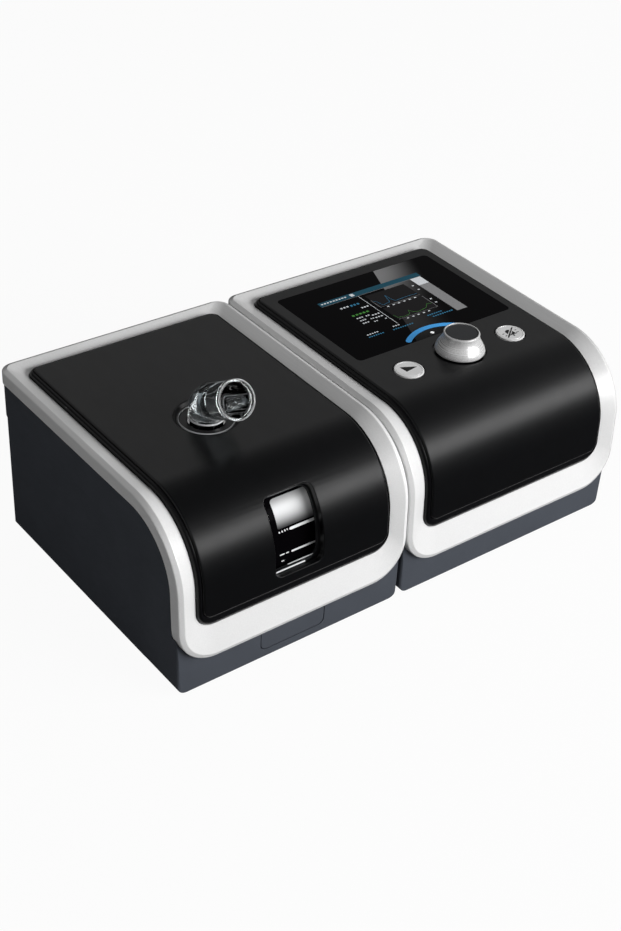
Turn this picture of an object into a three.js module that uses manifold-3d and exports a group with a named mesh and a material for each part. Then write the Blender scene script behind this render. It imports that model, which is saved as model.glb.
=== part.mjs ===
// A bedside CPAP machine with a heated humidifier docked on its left.
// Millimetres, +X to the right, -Y to the front, +Z up, standing on its feet.
import Module from 'manifold-3d';
import * as THREE from 'three';
import { mergeVertices } from 'three/addons/utils/BufferGeometryUtils.js';

const wasm = await Module();
wasm.setup();

// Clearances, cuts and the fineness of round forms
const fit = 0.3;
const overrun = 3;
const weld_distance = 0.0001;
const bend_steps = 8;
const corner_steps = 4;
const outline_steps = 2;
const arc_steps = 6;
const round_sides = 24;
const small_sides = 14;

// The two modules, seen from the front
const hum_width = 150.2;
const main_width = 164.8;
const module_gap = 0.8;

// Both modules, seen from the side: flat top, bent front and a face that leans out
const crest_height = 109.9;
const flat_run = 139.15;
const front_radius = 45.1;
const lip_height = 22.8;
const face_lean = THREE.MathUtils.degToRad(3.2);

// Silver frames
const band_depth = 9;
const bevel_width = 3;
const bevel_fall = 1.3;
const bevel_share = 0.3;
const face_fall = 3.6;
const frame_wall = 2.2;
const hum_rim = 11.7;
const main_rim = 13;
const back_rim = 9.95;
const front_rim = 19.5;
const back_radius = 8.5;
const lip_radius = 23;
const opening_back_radius = 7;
const opening_front_radius = 11;

// Raised black panels and the shoulder round them
const trim_width = 2.3;
const trim_front_width = 6.9;
const panel_wall = 3.2;
const panel_bevel = 0.5;
const skirt_width = 3;
const liner_wall = 2;

// Bases
const foot_height = 2;
const base_inset = 0.6;
const base_front_set = 5.2;
const front_turn = 4;
const corner_wall = 3.1;
const base_wall = 4;
const base_front_radius = 3.5;
const base_low_radius = 8;
const base_side_radius = 2;
const front_block = 18;
const cover_wall = 2.5;
const cover_radius = 4;
const recess_depth = 2.4;
const recess_drop = 30.2;
const recess_past = 7.5;
const recess_radius = 10;
const foot_radius = 7;
const foot_sink = 1;
const foot_margin = 14;

// Hinge of the lid
const pin_radius = 1.25;
const barrel_radius = 3.1;
const hinge_back = 3.6;
const hinge_inset = 29.1;
const knuckle_length = 10;
const outer_knuckle_length = 7;
const arm_height = 2.6;

// Outlet elbow and the dish that it stands in
const outlet_shift = -5.5;
const outlet_to_bend = 35.5;
const outlet_hole = 18.3;
const dish_fall = 2.4;
const dish_slope = 1.6;
const flange_radius = 15;
const flange_height = 1.5;
const elbow_radius = 10.4;
const elbow_wall = 1.2;
const elbow_tail = 10.4;
const elbow_rise = 10.3;
const elbow_bend = 12;
const elbow_reach = 29.9;
const elbow_angle = THREE.MathUtils.degToRad(60);
const mouth_radius = 11;
const mouth_rim = 2.6;
const swivel_ring_height = 2.6;
const ring_width = 2.4;
const ring_height = 1.8;
const seal_width = 3.4;

// Window in the lid
const window_width = 31.3;
const window_past_bend = 32.3;
const window_to_lip = 33.63;
const window_radius = 4.5;

// Latch below the lid
const latch_width = 42.5;
const latch_height = 15;
const latch_radius = 4;
const latch_wall = 4.2;
const latch_travel = 2.4;
const latch_stem = 1.5;
const latch_stem_length = 5;
const latch_bore = 3.6;
const latch_bore_depth = 8;
const latch_wire = 0.4;
const latch_turns = 5;

// Water tank and heater
const tank_gap = 9.5;
const tank_back = 16;
const tank_wall = 2;
const tank_front_drop = 9.6;
const tank_cover_drop = 12;
const tank_cover_wall = 2.4;
const tank_seal_height = 1.2;
const tank_step = 8;
const tank_plate_inset = 20;
const tank_plate_wall = 1.2;
const shelf_top = 20.5;
const shelf_wall = 2.5;
const rail_inset = 9;
const rail_width = 5;
const heater_inset = 3;
const heater_flange = 3;
const heater_flange_height = 2;
const heater_share = 0.5776;
const heater_travel = 1.5;
const heater_coil = 9;
const heater_wire = 0.7;
const heater_turns = 3;
const stub_height = 4;

// Air path between the modules
const port_to_bend = 63.5;
const port_height = 58;
const port_radius = 8;
const port_wall = 1.2;
const port_flange = 3;
const inlet_length = 28;

// Screen, lamp and arc on the main panel
const controls_shift = -0.2;
const glass_shift = 1.1;
const glass_margin = 10.15;
const glass_back = 21.85;
const glass_to_knob = 21.5;
const glass_radius = 3;
const glass_wall = 1.5;
const lcd_side_margin = 20.55;
const lcd_back_margin = 15.3;
const lcd_front_margin = 16.3;
const lcd_margin = 2;
const arc_radius = 30.6;
const arc_width = 3.4;
const arc_half_angle = THREE.MathUtils.degToRad(38);
const led_distance = 24.6;
const led_radius = 1.3;

// Knob
const knob_to_bend = 14.8;
const knob_radius = 15.1;
const knob_top_radius = 11.3;
const knob_height = 12.7;
const knob_lift = 0.5;
const knob_cap_radius = 9.5;
const knob_cap_wall = 1.2;
const knob_cap_sink = 0.4;
const knob_recess = 1.1;
const press_travel = 1;
const shaft_radius = 3;
const encoder_size = 12;
const encoder_height = 5;

// Round push buttons
const button_share = 0.3346;
const button_to_bend = 13.75;
const button_radius = 8.8;
const button_lift = 0.6;
const button_flange = 1;
const button_stem = 2.4;
const button_stem_length = 5;
const switch_size = 6;
const switch_height = 3.2;

// Boards
const board_wall = 1.6;
const control_board_margin = 7.25;
const control_board_inset = 6.8;
const control_board_past = 10.5;
const boss_radius = 3;
const boss_margin = 5;
const main_board_share = 0.27913;
const main_board_back = 24;
const main_board_gap = 15.1;
const main_board_height = 36;

// Memory card at the right side
const card_width = 24;
const card_length = 32;
const card_wall = 2.1;
const card_to_front = 50;
const card_proud = 0.8;
const cage_wall = 1;

// Blower
const duct_share = 0.16687;
const board_gap = 5.5;
const motor_share = 0.53;
const motor_height = 12;
const case_height = 20;
const case_wall = 2;
const inlet_share = 0.38;
const inlet_lip = 3;
const impeller_side_gap = 5;
const impeller_height = 12;
const impeller_disc = 1.2;
const impeller_gap = 2.5;
const hub_radius = 5;
const blade_count = 9;
const blade_wall = 1;
const motor_shaft = 1.5;
const outlet_stub = 8;

// Filter and its cover at the back
const filter_x = 36;
const filter_height = 50;
const filter_width = 46;
const filter_tall = 32;
const filter_depth = 6;
const filter_lip = 3;
const filter_cover_wall = 2;
const filter_cover_margin = 2.5;
const grille_slots = 7;
const grille_slot_width = 2.4;
const grille_slot_share = 0.72;

// Low voltage inlet at the back
const socket_x = -46;
const socket_height = 24;
const socket_radius = 5.6;
const socket_flange = 1.6;
const socket_bore = 3.1;
const socket_pin = 1;
const socket_depth = 11;
const socket_wall = 2;

// Sizes that follow from the ones above
const bend_angle = Math.PI / 2 - face_lean;
const bend_length = front_radius * bend_angle;
const bend_end = flat_run + bend_length;
const face_length = (crest_height - front_radius * (1 - Math.cos(bend_angle)) - lip_height)
  / Math.cos(face_lean);
const run_length = bend_end + face_length;
const total_width = hum_width + module_gap + main_width;
const hum_centre = (hum_width - total_width) / 2;
const main_centre = (total_width - main_width) / 2;
const rim_depth = face_fall + frame_wall;
const liner_top = rim_depth + fit;
const liner_low = liner_top + liner_wall;
const panel_inset = trim_width + 2 * fit;
const base_drop = band_depth + fit;
const cover_top = foot_height + cover_wall;
const shelf_low = shelf_top - shelf_wall;
const heater_top = shelf_top + heater_travel;
const tank_floor = heater_top + 2 * fit + tank_plate_wall;
const board_drop = liner_low + button_stem_length + switch_height + press_travel;
const recess_top = crest_height - recess_drop;
const recess_front = flat_run + recess_past;

// Places in the humidifier
const hinge_offset = hum_width / 2 - hinge_inset;
const outlet_back = flat_run - outlet_to_bend;
const window_start = flat_run + window_past_bend;
const window_end = run_length - window_to_lip;
const tank_width = hum_width - 2 * (base_inset + base_wall + tank_gap);
const rail_offset = tank_width / 2 - rail_inset;
const tank_plate_radius = tank_width / 2 - tank_plate_inset;
const heater_radius = tank_plate_radius - heater_inset;
const heater_shift = flat_run * heater_share;
const port_back = flat_run - port_to_bend;

// Places in the main module
const knob_back = flat_run - knob_to_bend;
const button_back = flat_run - button_to_bend;
const glass_width = main_width - 2 * (main_rim + glass_margin);
const glass_front = knob_back - glass_to_knob;
const lcd_width = glass_width - 2 * lcd_side_margin;
const lcd_back = glass_back + lcd_back_margin;
const lcd_front = glass_front - lcd_front_margin;
const control_board_width = glass_width - 2 * control_board_margin;
const control_board_back = glass_back + control_board_inset;
const control_board_front = button_back + control_board_past;
const main_board_right = main_width / 2 - base_inset - base_wall - fit;
const button_offset = glass_width * button_share;
const duct_run = main_width * duct_share;
const main_board_width = main_width * main_board_share;
const case_radius = (2 * main_board_right - duct_run - outlet_stub - board_gap
  - main_board_width) / 2;
const blower_x = duct_run + outlet_stub + case_radius - main_board_right;
const blower_back = port_back;
const motor_radius = case_radius * motor_share;
const inlet_radius = case_radius * inlet_share;
const impeller_radius = case_radius - case_wall - impeller_side_gap;

// Colours, roughness and metalness of the surfaces
function finish(color, roughness, metalness = 0, opacity = 1) {
  return new THREE.MeshStandardMaterial({
    color, roughness, metalness, opacity, transparent: opacity < 1,
  });
}
const silver = () => finish(0xc4c5c6, 0.38, 0.6);
const slate = () => finish(0x3a3f47, 0.6);
const black_satin = () => finish(0x1c1d1f, 0.4);
const black_gloss = () => finish(0x0b0b0c, 0.15);
const dark_plastic = () => finish(0x26282b, 0.7);
const rubber = () => finish(0x17181a, 0.9);
const clear = () => finish(0xe6eef2, 0.08, 0, 0.35);
const steel = () => finish(0xb5b8bb, 0.35, 0.9);
const board_green = () => finish(0x1e5b3a, 0.6);

// Geometry helpers
function signedVolume(position, index) {
  const corners = [new THREE.Vector3(), new THREE.Vector3(), new THREE.Vector3()];
  let volume = 0;
  for (let i = 0; i < index.length; i += 3) {
    corners.forEach((corner, k) => corner.fromArray(position, index[i + k] * 3));
    volume += corners[0].dot(corners[1].cross(corners[2]));
  }
  return volume;
}

function toSolid(geometry) {
  const plain = geometry.clone();
  plain.deleteAttribute('normal');
  plain.deleteAttribute('uv');
  const merged = mergeVertices(plain, weld_distance);
  const position = new Float32Array(merged.attributes.position.array);
  const index = [];
  const all = merged.index.array;
  for (let i = 0; i < all.length; i += 3) {
    const [a, b, c] = [all[i], all[i + 1], all[i + 2]];
    if (a !== b && b !== c && c !== a) index.push(a, b, c);
  }
  if (signedVolume(position, index) < 0) index.reverse();
  const mesh = new wasm.Mesh({
    numProp: 3, vertProperties: position, triVerts: new Uint32Array(index),
  });
  return new wasm.Manifold(mesh);
}

function toGeometry(solid) {
  const mesh = solid.getMesh();
  const geometry = new THREE.BufferGeometry();
  const step = mesh.numProp;
  const count = mesh.vertProperties.length / step;
  const position = new Float32Array(count * 3);
  for (let i = 0; i < count; i += 1) {
    for (let k = 0; k < 3; k += 1) position[i * 3 + k] = mesh.vertProperties[i * step + k];
  }
  geometry.setAttribute('position', new THREE.BufferAttribute(position, 3));
  geometry.setIndex(new THREE.BufferAttribute(new Uint32Array(mesh.triVerts), 1));
  geometry.computeVertexNormals();
  return geometry;
}

function join(...solids) {
  return solids.reduce((whole, solid) => whole.add(solid));
}

function cut(solid, ...tools) {
  return tools.reduce((left, tool) => left.subtract(tool), solid);
}

function block(x0, x1, y0, y1, z0, z1) {
  const geometry = new THREE.BoxGeometry(x1 - x0, y1 - y0, z1 - z0);
  geometry.translate((x0 + x1) / 2, (y0 + y1) / 2, (z0 + z1) / 2);
  return toSolid(geometry);
}

// Turns a geometry whose axis is Z so that the axis lies along X or Y
const axis_bases = {
  x: new THREE.Matrix4().makeBasis(
    new THREE.Vector3(0, 1, 0), new THREE.Vector3(0, 0, 1), new THREE.Vector3(1, 0, 0)),
  y: new THREE.Matrix4().makeBasis(
    new THREE.Vector3(0, 0, 1), new THREE.Vector3(1, 0, 0), new THREE.Vector3(0, 1, 0)),
  z: new THREE.Matrix4(),
};

// A solid of revolution: profile points are [radius, height along the axis]
function turned(profile, axis, [x, y, z], sides = round_sides) {
  const points = profile.map(([radius, height]) => new THREE.Vector2(radius, height));
  const geometry = new THREE.LatheGeometry(points, sides);
  geometry.rotateX(Math.PI / 2);
  geometry.applyMatrix4(axis_bases[axis]);
  geometry.translate(x, y, z);
  return toSolid(geometry);
}

function rod(radius, from, to, axis, centre, sides = round_sides) {
  return turned([[0, from], [radius, from], [radius, to], [0, to]], axis, centre, sides);
}

function ring(inner, outer, from, to, axis, centre, sides = round_sides) {
  const profile = [[inner, from], [outer, from], [outer, to], [inner, to], [inner, from]];
  return turned(profile, axis, centre, sides);
}

// A flat outline pushed along an axis. Outlines are drawn in (y, z) for X, in (z, x) for Y
// and in (x, y) for Z
function pushed(shape, from, to, axis, curveSegments = outline_steps) {
  const geometry = new THREE.ExtrudeGeometry(shape, {
    depth: to - from, bevelEnabled: false, steps: 1, curveSegments,
  });
  geometry.translate(0, 0, from);
  geometry.applyMatrix4(axis_bases[axis]);
  return toSolid(geometry);
}

function polygon(points) {
  return new THREE.Shape(points.map(([a, b]) => new THREE.Vector2(a, b)));
}

// Corner radii in the order low-low, high-low, high-high, low-high
function roundedRectangle(a0, a1, b0, b1, radii) {
  const [ll, hl, hh, lh] = radii;
  const shape = new THREE.Shape();
  const quarter = Math.PI / 2;
  shape.moveTo(a0 + ll, b0);
  shape.lineTo(a1 - hl, b0);
  if (hl > 0) shape.absarc(a1 - hl, b0 + hl, hl, -quarter, 0);
  shape.lineTo(a1, b1 - hh);
  if (hh > 0) shape.absarc(a1 - hh, b1 - hh, hh, 0, quarter);
  shape.lineTo(a0 + lh, b1);
  if (lh > 0) shape.absarc(a0 + lh, b1 - lh, lh, quarter, Math.PI);
  shape.lineTo(a0, b0 + ll);
  if (ll > 0) shape.absarc(a0 + ll, b0 + ll, ll, Math.PI, Math.PI + quarter);
  return shape;
}

// The bent skin of both modules. A point of it has its run from the back edge over the top
// and down the front, and its drop below the crest surface
function skinPoint(x, run, drop) {
  if (run <= flat_run) return new THREE.Vector3(x, -run, crest_height - drop);
  const angle = Math.min((run - flat_run) / front_radius, bend_angle);
  const radius = front_radius - drop;
  const past = Math.max(run - bend_end, 0);
  return new THREE.Vector3(
    x,
    -flat_run - radius * Math.sin(angle) - past * Math.cos(angle),
    crest_height - front_radius + radius * Math.cos(angle) - past * Math.sin(angle),
  );
}

function bendStations() {
  return Array.from({ length: bend_steps + 1 }, (_, i) => flat_run + bend_length * i / bend_steps);
}

// Rows of a rounded rectangle laid on the skin, from its back edge to its front edge
function skinRows({ centre = 0, half, back, front, backCorner, frontCorner, stations }) {
  const rows = [];
  for (let i = 0; i <= corner_steps; i += 1) {
    const angle = Math.PI / 2 * i / corner_steps;
    rows.push([half - backCorner * (1 - Math.sin(angle)), back + backCorner * (1 - Math.cos(angle))]);
  }
  stations.forEach((run) => rows.push([half, run]));
  for (let i = 0; i <= corner_steps; i += 1) {
    const angle = Math.PI / 2 * i / corner_steps;
    rows.push([
      half - frontCorner * (1 - Math.cos(angle)), front - frontCorner * (1 - Math.sin(angle)),
    ]);
  }
  return rows.map(([x, run]) => ({ left: centre - x, right: centre + x, run }));
}

function loopPoints({ rows, drop }) {
  const left = rows.map((row) => skinPoint(row.left, row.run, drop));
  const right = rows.map((row) => skinPoint(row.right, row.run, drop));
  return left.concat(right.reverse());
}

function surfaceGeometry(points, index) {
  const geometry = new THREE.BufferGeometry();
  const position = new Float32Array(points.flatMap((point) => point.toArray()));
  geometry.setAttribute('position', new THREE.BufferAttribute(position, 3));
  geometry.setIndex(index);
  return geometry;
}

function bridge(index, count, from, to) {
  for (let i = 0; i < count; i += 1) {
    const next = (i + 1) % count;
    index.push(from + i, from + next, to + next, from + i, to + next, to + i);
  }
}

// A closed bent ring whose section goes round through the loops
function skinRing(loops) {
  const points = loops.flatMap(loopPoints);
  const count = points.length / loops.length;
  const index = [];
  loops.forEach((_, k) => bridge(index, count, k * count, ((k + 1) % loops.length) * count));
  return toSolid(surfaceGeometry(points, index));
}

// A bent plate from its first loop to its last one
function skinPlate(loops) {
  const points = loops.flatMap(loopPoints);
  const count = points.length / loops.length;
  const index = [];
  for (let k = 0; k + 1 < loops.length; k += 1) bridge(index, count, k * count, (k + 1) * count);
  const last = (loops.length - 1) * count;
  for (let i = 0; i + 1 < count / 2; i += 1) {
    const [a, b, c, d] = [i, i + 1, count - 2 - i, count - 1 - i];
    index.push(a, c, b, a, d, c);
    index.push(last + a, last + b, last + c, last + a, last + c, last + d);
  }
  return toSolid(surfaceGeometry(points, index));
}

// A pipe through stations that each have a point, a direction and radii
function pipe(stations, sides = round_sides) {
  const side = new THREE.Vector3();
  const points = [];
  const layers = stations.concat([...stations].reverse());
  layers.forEach(({ point, direction, across, outer, inner }, k) => {
    const radius = k < stations.length ? outer : inner;
    side.crossVectors(direction, across);
    for (let i = 0; i < sides; i += 1) {
      const angle = 2 * Math.PI * i / sides;
      points.push(point.clone()
        .addScaledVector(across, radius * Math.cos(angle))
        .addScaledVector(side, radius * Math.sin(angle)));
    }
  });
  const index = [];
  layers.forEach((_, k) => bridge(index, sides, k * sides, ((k + 1) % layers.length) * sides));
  return toSolid(surfaceGeometry(points, index));
}

// An open coil spring along Z
function coil(radius, wire, height, turns) {
  const steps_a_turn = 8;
  const sides = 5;
  const count = turns * steps_a_turn;
  const rise = height - 2 * wire;
  const points = [];
  for (let i = 0; i <= count; i += 1) {
    const angle = 2 * Math.PI * i / steps_a_turn;
    const outward = new THREE.Vector3(Math.cos(angle), Math.sin(angle), 0);
    const centre = outward.clone().multiplyScalar(radius);
    centre.z = wire + rise * i / count;
    for (let k = 0; k < sides; k += 1) {
      const turn = 2 * Math.PI * k / sides;
      const point = centre.clone().addScaledVector(outward, wire * Math.cos(turn));
      point.z += wire * Math.sin(turn);
      points.push(point);
    }
  }
  const index = [];
  for (let i = 0; i < count; i += 1) bridge(index, sides, i * sides, (i + 1) * sides);
  const last = count * sides;
  for (let k = 1; k + 1 < sides; k += 1) {
    index.push(0, k + 1, k);
    index.push(last, last + k, last + k + 1);
  }
  return toSolid(surfaceGeometry(points, index));
}

// Loops of a frame: by share of the way from the outer edge to the opening
function rimLoop(body, share, drop) {
  return {
    rows: skinRows({
      half: body.width / 2 - share * body.rim,
      back: share * back_rim,
      front: run_length - share * front_rim,
      backCorner: back_radius + share * (opening_back_radius - back_radius),
      frontCorner: lip_radius + share * (opening_front_radius - lip_radius),
      stations: bendStations(),
    }),
    drop,
  };
}

// Loops set in by the same distance all round from the outer edge
function insetLoop(body, inset, drop) {
  return {
    rows: skinRows({
      half: body.width / 2 - inset,
      back: inset,
      front: run_length - inset,
      backCorner: back_radius - inset,
      frontCorner: lip_radius - inset,
      stations: bendStations(),
    }),
    drop,
  };
}

// Loops set in from the opening of the frame, further at the front, where the shoulder widens
function openingLoop(body, inset, drop) {
  const across = Math.min(Math.max((inset - fit) / trim_width, 0), 1);
  const extra = across * (trim_front_width - trim_width);
  return {
    rows: skinRows({
      half: body.width / 2 - body.rim - inset,
      back: back_rim + inset,
      front: run_length - front_rim - inset - extra,
      backCorner: opening_back_radius - inset,
      frontCorner: opening_front_radius - inset - extra / 2,
      stations: bendStations(),
    }),
    drop,
  };
}

function frameSolid(body) {
  const edge = bevel_fall * bevel_share;
  return skinRing([
    insetLoop(body, 0, band_depth),
    insetLoop(body, 0, bevel_fall + edge),
    insetLoop(body, edge, bevel_fall),
    insetLoop(body, bevel_width, 0),
    rimLoop(body, 1, face_fall),
    rimLoop(body, 1, rim_depth),
    insetLoop(body, frame_wall, frame_wall + edge),
    insetLoop(body, frame_wall, band_depth),
  ]);
}

// The shoulder: shares of its width and of its height over the liner
const shoulder_shares = [[0, 1], [0, 0.55], [0.2, 0.42], [0.42, 0.24], [0.7, 0.14], [1, 0.2], [1, 1]];

function trimSolid(body) {
  return skinRing(shoulder_shares.map(([across_share, down_share]) => (
    openingLoop(body, fit + trim_width * across_share, rim_depth * down_share)
  )));
}

function panelSolid(body) {
  const plate = skinPlate([
    openingLoop(body, panel_inset, panel_wall),
    openingLoop(body, panel_inset, panel_bevel),
    openingLoop(body, panel_inset + panel_bevel, 0),
  ]);
  const skirt = skinRing([
    openingLoop(body, panel_inset, panel_wall - panel_bevel),
    openingLoop(body, panel_inset, rim_depth),
    openingLoop(body, panel_inset + skirt_width, rim_depth),
    openingLoop(body, panel_inset + skirt_width, panel_wall - panel_bevel),
  ]);
  return join(plate, skirt);
}

function linerSolid(body) {
  return skinPlate([
    insetLoop(body, frame_wall + fit, liner_low),
    insetLoop(body, frame_wall + fit, liner_top),
  ]);
}

// A base is cut from a block with the bent outline, and the frame's own envelope makes its
// upper edge, so that it fills the front below the frame's round corners
const base_front = skinPoint(0, run_length + front_turn, base_front_set).y;
const block_back = base_front + front_block;
const mouth_front = skinPoint(0, run_length, base_front_set + corner_wall).y;
const main_board_front = -block_back - main_board_gap;
const card_back = main_board_front - card_to_front;

function baseProfile() {
  const runs = [-overrun, ...bendStations(), run_length + lip_height];
  const points = runs.map((run) => skinPoint(0, run, base_front_set));
  return polygon([...points.map((point) => [point.y, point.z]), [overrun, 0]]);
}

function baseSolid(body) {
  const half = body.width / 2 - base_inset;
  const profile = pushed(baseProfile(), -half, half, 'x');
  const back_corner = back_radius - base_inset;
  const plan = pushed(
    roundedRectangle(-half, half, base_front, -base_inset,
      [base_front_radius, base_front_radius, back_corner, back_corner]),
    0, crest_height, 'z',
  );
  const outline = (radius, front) => pushed(
    roundedRectangle(foot_height, crest_height + overrun, -half, half, [radius, 0, 0, radius]),
    front, overrun, 'y',
  );
  const front_view = join(
    outline(base_low_radius, base_front - overrun), outline(base_side_radius, -recess_front),
  );
  const frame_space = skinPlate([
    insetLoop(body, -fit, base_drop), insetLoop(body, -fit, -overrun),
  ]);
  const side = body.outer_side * half;
  const recess = pushed(
    roundedRectangle(-recess_front, overrun, -overrun, recess_top, [0, 0, 0, recess_radius]),
    side - (body.outer_side < 0 ? overrun : recess_depth),
    side + (body.outer_side < 0 ? recess_depth : overrun), 'x',
  );
  const inner = half - base_wall;
  const back = -base_inset - base_wall;
  const well = block(-inner, inner, block_back, back, body.shelf, crest_height);
  const mouth = block(-inner, inner, mouth_front, block_back + overrun, lip_height, crest_height);
  return cut(profile.intersect(plan).intersect(front_view), frame_space, recess, well, mouth);
}

// The space below a base, or the cover that closes it when it is drawn in by the clearance
function underSolid(body, inset, low, high) {
  const half = body.width / 2 - base_inset - base_wall - inset;
  const back = -base_inset - base_wall - inset;
  return pushed(
    roundedRectangle(-half, half, block_back + inset, back, Array(4).fill(cover_radius - inset)),
    low, high, 'z',
  );
}

function coverSolid(body) {
  const plate = underSolid(body, fit, foot_height, cover_top);
  const pockets = footPlaces(body).map(([x, y]) => (
    rod(foot_radius + fit, foot_height - overrun, foot_height + foot_sink + fit, 'z', [x, y, 0],
      small_sides)
  ));
  return cut(plate, ...pockets);
}

function footPlaces(body) {
  const half = body.width / 2 - base_inset - base_wall - foot_margin;
  const back = -base_inset - base_wall - foot_margin;
  const front = block_back + foot_margin;
  return [[-half, front], [half, front], [-half, back], [half, back]];
}

function footSolid([x, y]) {
  const lead = foot_radius - foot_sink;
  return turned([
    [0, 0], [lead, 0], [foot_radius, foot_sink], [foot_radius, foot_height + foot_sink],
    [0, foot_height + foot_sink],
  ], 'z', [x, y, 0], small_sides);
}

// Humidifier base: housing with its knuckles, tank rails, latch pocket and heater opening
const hinge_axis_z = crest_height - band_depth;
const latch_low = lip_height - band_depth * Math.sin(face_lean) - fit - latch_height;
const latch_centre_z = latch_low + latch_height / 2;
const latch_pocket_back = base_front + latch_wall + latch_travel + fit;
const knuckle_gap = knuckle_length / 2 + fit;

function humBaseSolid(body) {
  const under = underSolid(body, 0, foot_height - overrun, shelf_low);
  const heater_hole = rod(heater_radius + fit, shelf_low - overrun, shelf_top + overrun, 'z',
    [0, -heater_shift, 0]);
  const pocket = pushed(
    roundedRectangle(latch_low - fit, lip_height + overrun,
      -latch_width / 2 - fit, latch_width / 2 + fit, [latch_radius, 0, 0, latch_radius]),
    base_front - overrun, latch_pocket_back, 'y',
  );
  const bore = rod(latch_bore, latch_pocket_back - overrun, latch_pocket_back + latch_bore_depth,
    'y', [0, 0, latch_centre_z], small_sides);
  const port = rod(port_radius + fit, 0, body.width, 'x', [0, -port_back, port_height]);
  const rails = [-1, 1].map((side) => block(
    side * rail_offset - rail_width / 2, side * rail_offset + rail_width / 2,
    block_back, -tank_back, shelf_top - fit, tank_floor - fit,
  ));
  const knuckles = [-1, 1].flatMap((side) => [-1, 1].map((end) => {
    const near = side * hinge_offset + end * knuckle_gap;
    const far = near + end * outer_knuckle_length;
    return knuckleSolid(Math.min(near, far), Math.max(near, far));
  }));
  return cut(join(baseSolid(body), ...rails, ...knuckles), under, heater_hole, pocket, bore, port);
}

// One knuckle of the base with the web that carries it, drilled for the pin
function knuckleSolid(x0, x1) {
  const barrel = rod(barrel_radius, x0, x1, 'x', [0, hinge_back, hinge_axis_z], small_sides);
  const web = pushed(polygon([
    [-base_inset - base_wall / 2, hinge_axis_z - base_drop + band_depth - fit],
    [-base_inset - base_wall / 2, hinge_axis_z - 4 * barrel_radius],
    [-base_inset, hinge_axis_z - 4 * barrel_radius],
    [hinge_back + barrel_radius, hinge_axis_z - pin_radius],
    [hinge_back, hinge_axis_z - fit],
  ]), x0, x1, 'x');
  const hole = rod(pin_radius + fit, x0 - overrun, x1 + overrun, 'x',
    [0, hinge_back, hinge_axis_z], small_sides);
  return cut(join(barrel, web), hole);
}

function hingePinSolid(side) {
  const half = knuckle_gap + outer_knuckle_length;
  return rod(pin_radius, side * hinge_offset - half, side * hinge_offset + half, 'x',
    [0, hinge_back, hinge_axis_z], small_sides);
}

function latchSolid() {
  const tab = pushed(
    roundedRectangle(latch_low, latch_low + latch_height, -latch_width / 2, latch_width / 2,
      [latch_radius, 0, 0, latch_radius]),
    base_front, base_front + latch_wall, 'y',
  );
  const stem = rod(latch_stem, base_front + latch_wall - fit,
    base_front + latch_wall + latch_stem_length, 'y', [0, 0, latch_centre_z], small_sides);
  return join(tab, stem);
}

function latchSpringGeometry() {
  const length = latch_pocket_back + latch_bore_depth - base_front - latch_wall - 2 * fit;
  const radius = (latch_stem + latch_bore) / 2;
  return coil(radius, latch_wire, length, latch_turns);
}

// Lid
const window_stations_count = 6;

function windowSolid(grow) {
  const back = window_start - grow;
  const front = window_end + grow;
  const corner = window_radius + grow;
  const inner_length = front - back - 2 * corner;
  const stations = Array.from({ length: window_stations_count }, (_, i) => (
    back + corner + inner_length * (i + 1) / (window_stations_count + 1)
  ));
  const rows = skinRows({
    half: window_width / 2 + grow, back, front, backCorner: corner, frontCorner: corner, stations,
  });
  return skinPlate([{ rows, drop: liner_low + overrun }, { rows, drop: -overrun }]);
}

function outletRod(radius) {
  return rod(radius, -liner_low - overrun, overrun, 'z', [outlet_shift, -outlet_back, crest_height]);
}

function lidFrameSolid(body) {
  const notches = [-1, 1].map((side) => block(
    side * hinge_offset - knuckle_gap, side * hinge_offset + knuckle_gap,
    -frame_wall - overrun, overrun,
    hinge_axis_z - overrun, hinge_axis_z + arm_height + fit,
  ));
  return cut(frameSolid(body), ...notches);
}

function lidLinerSolid(body) {
  const arms = [-1, 1].map((side) => {
    const x0 = side * hinge_offset - knuckle_length / 2;
    const x1 = side * hinge_offset + knuckle_length / 2;
    const barrel = rod(barrel_radius, x0, x1, 'x', [0, hinge_back, hinge_axis_z], small_sides);
    const arm = block(x0, x1, -frame_wall - band_depth, hinge_back,
      crest_height - liner_low, hinge_axis_z + arm_height);
    const hole = rod(pin_radius + fit, x0 - overrun, x1 + overrun, 'x',
      [0, hinge_back, hinge_axis_z], small_sides);
    return cut(join(barrel, arm), hole);
  });
  return cut(join(linerSolid(body), ...arms), outletRod(elbow_radius + fit), windowSolid(fit));
}

function outletCollarSolid() {
  const outer = outlet_hole - fit;
  const floor_edge = outer - dish_slope;
  return turned([
    [elbow_radius + fit, -rim_depth], [outer, -rim_depth], [outer, -panel_bevel],
    [outer - panel_bevel, 0], [floor_edge, -dish_fall], [elbow_radius + fit, -dish_fall],
    [elbow_radius + fit, -rim_depth],
  ], 'z', [outlet_shift, -outlet_back, crest_height]);
}

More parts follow.
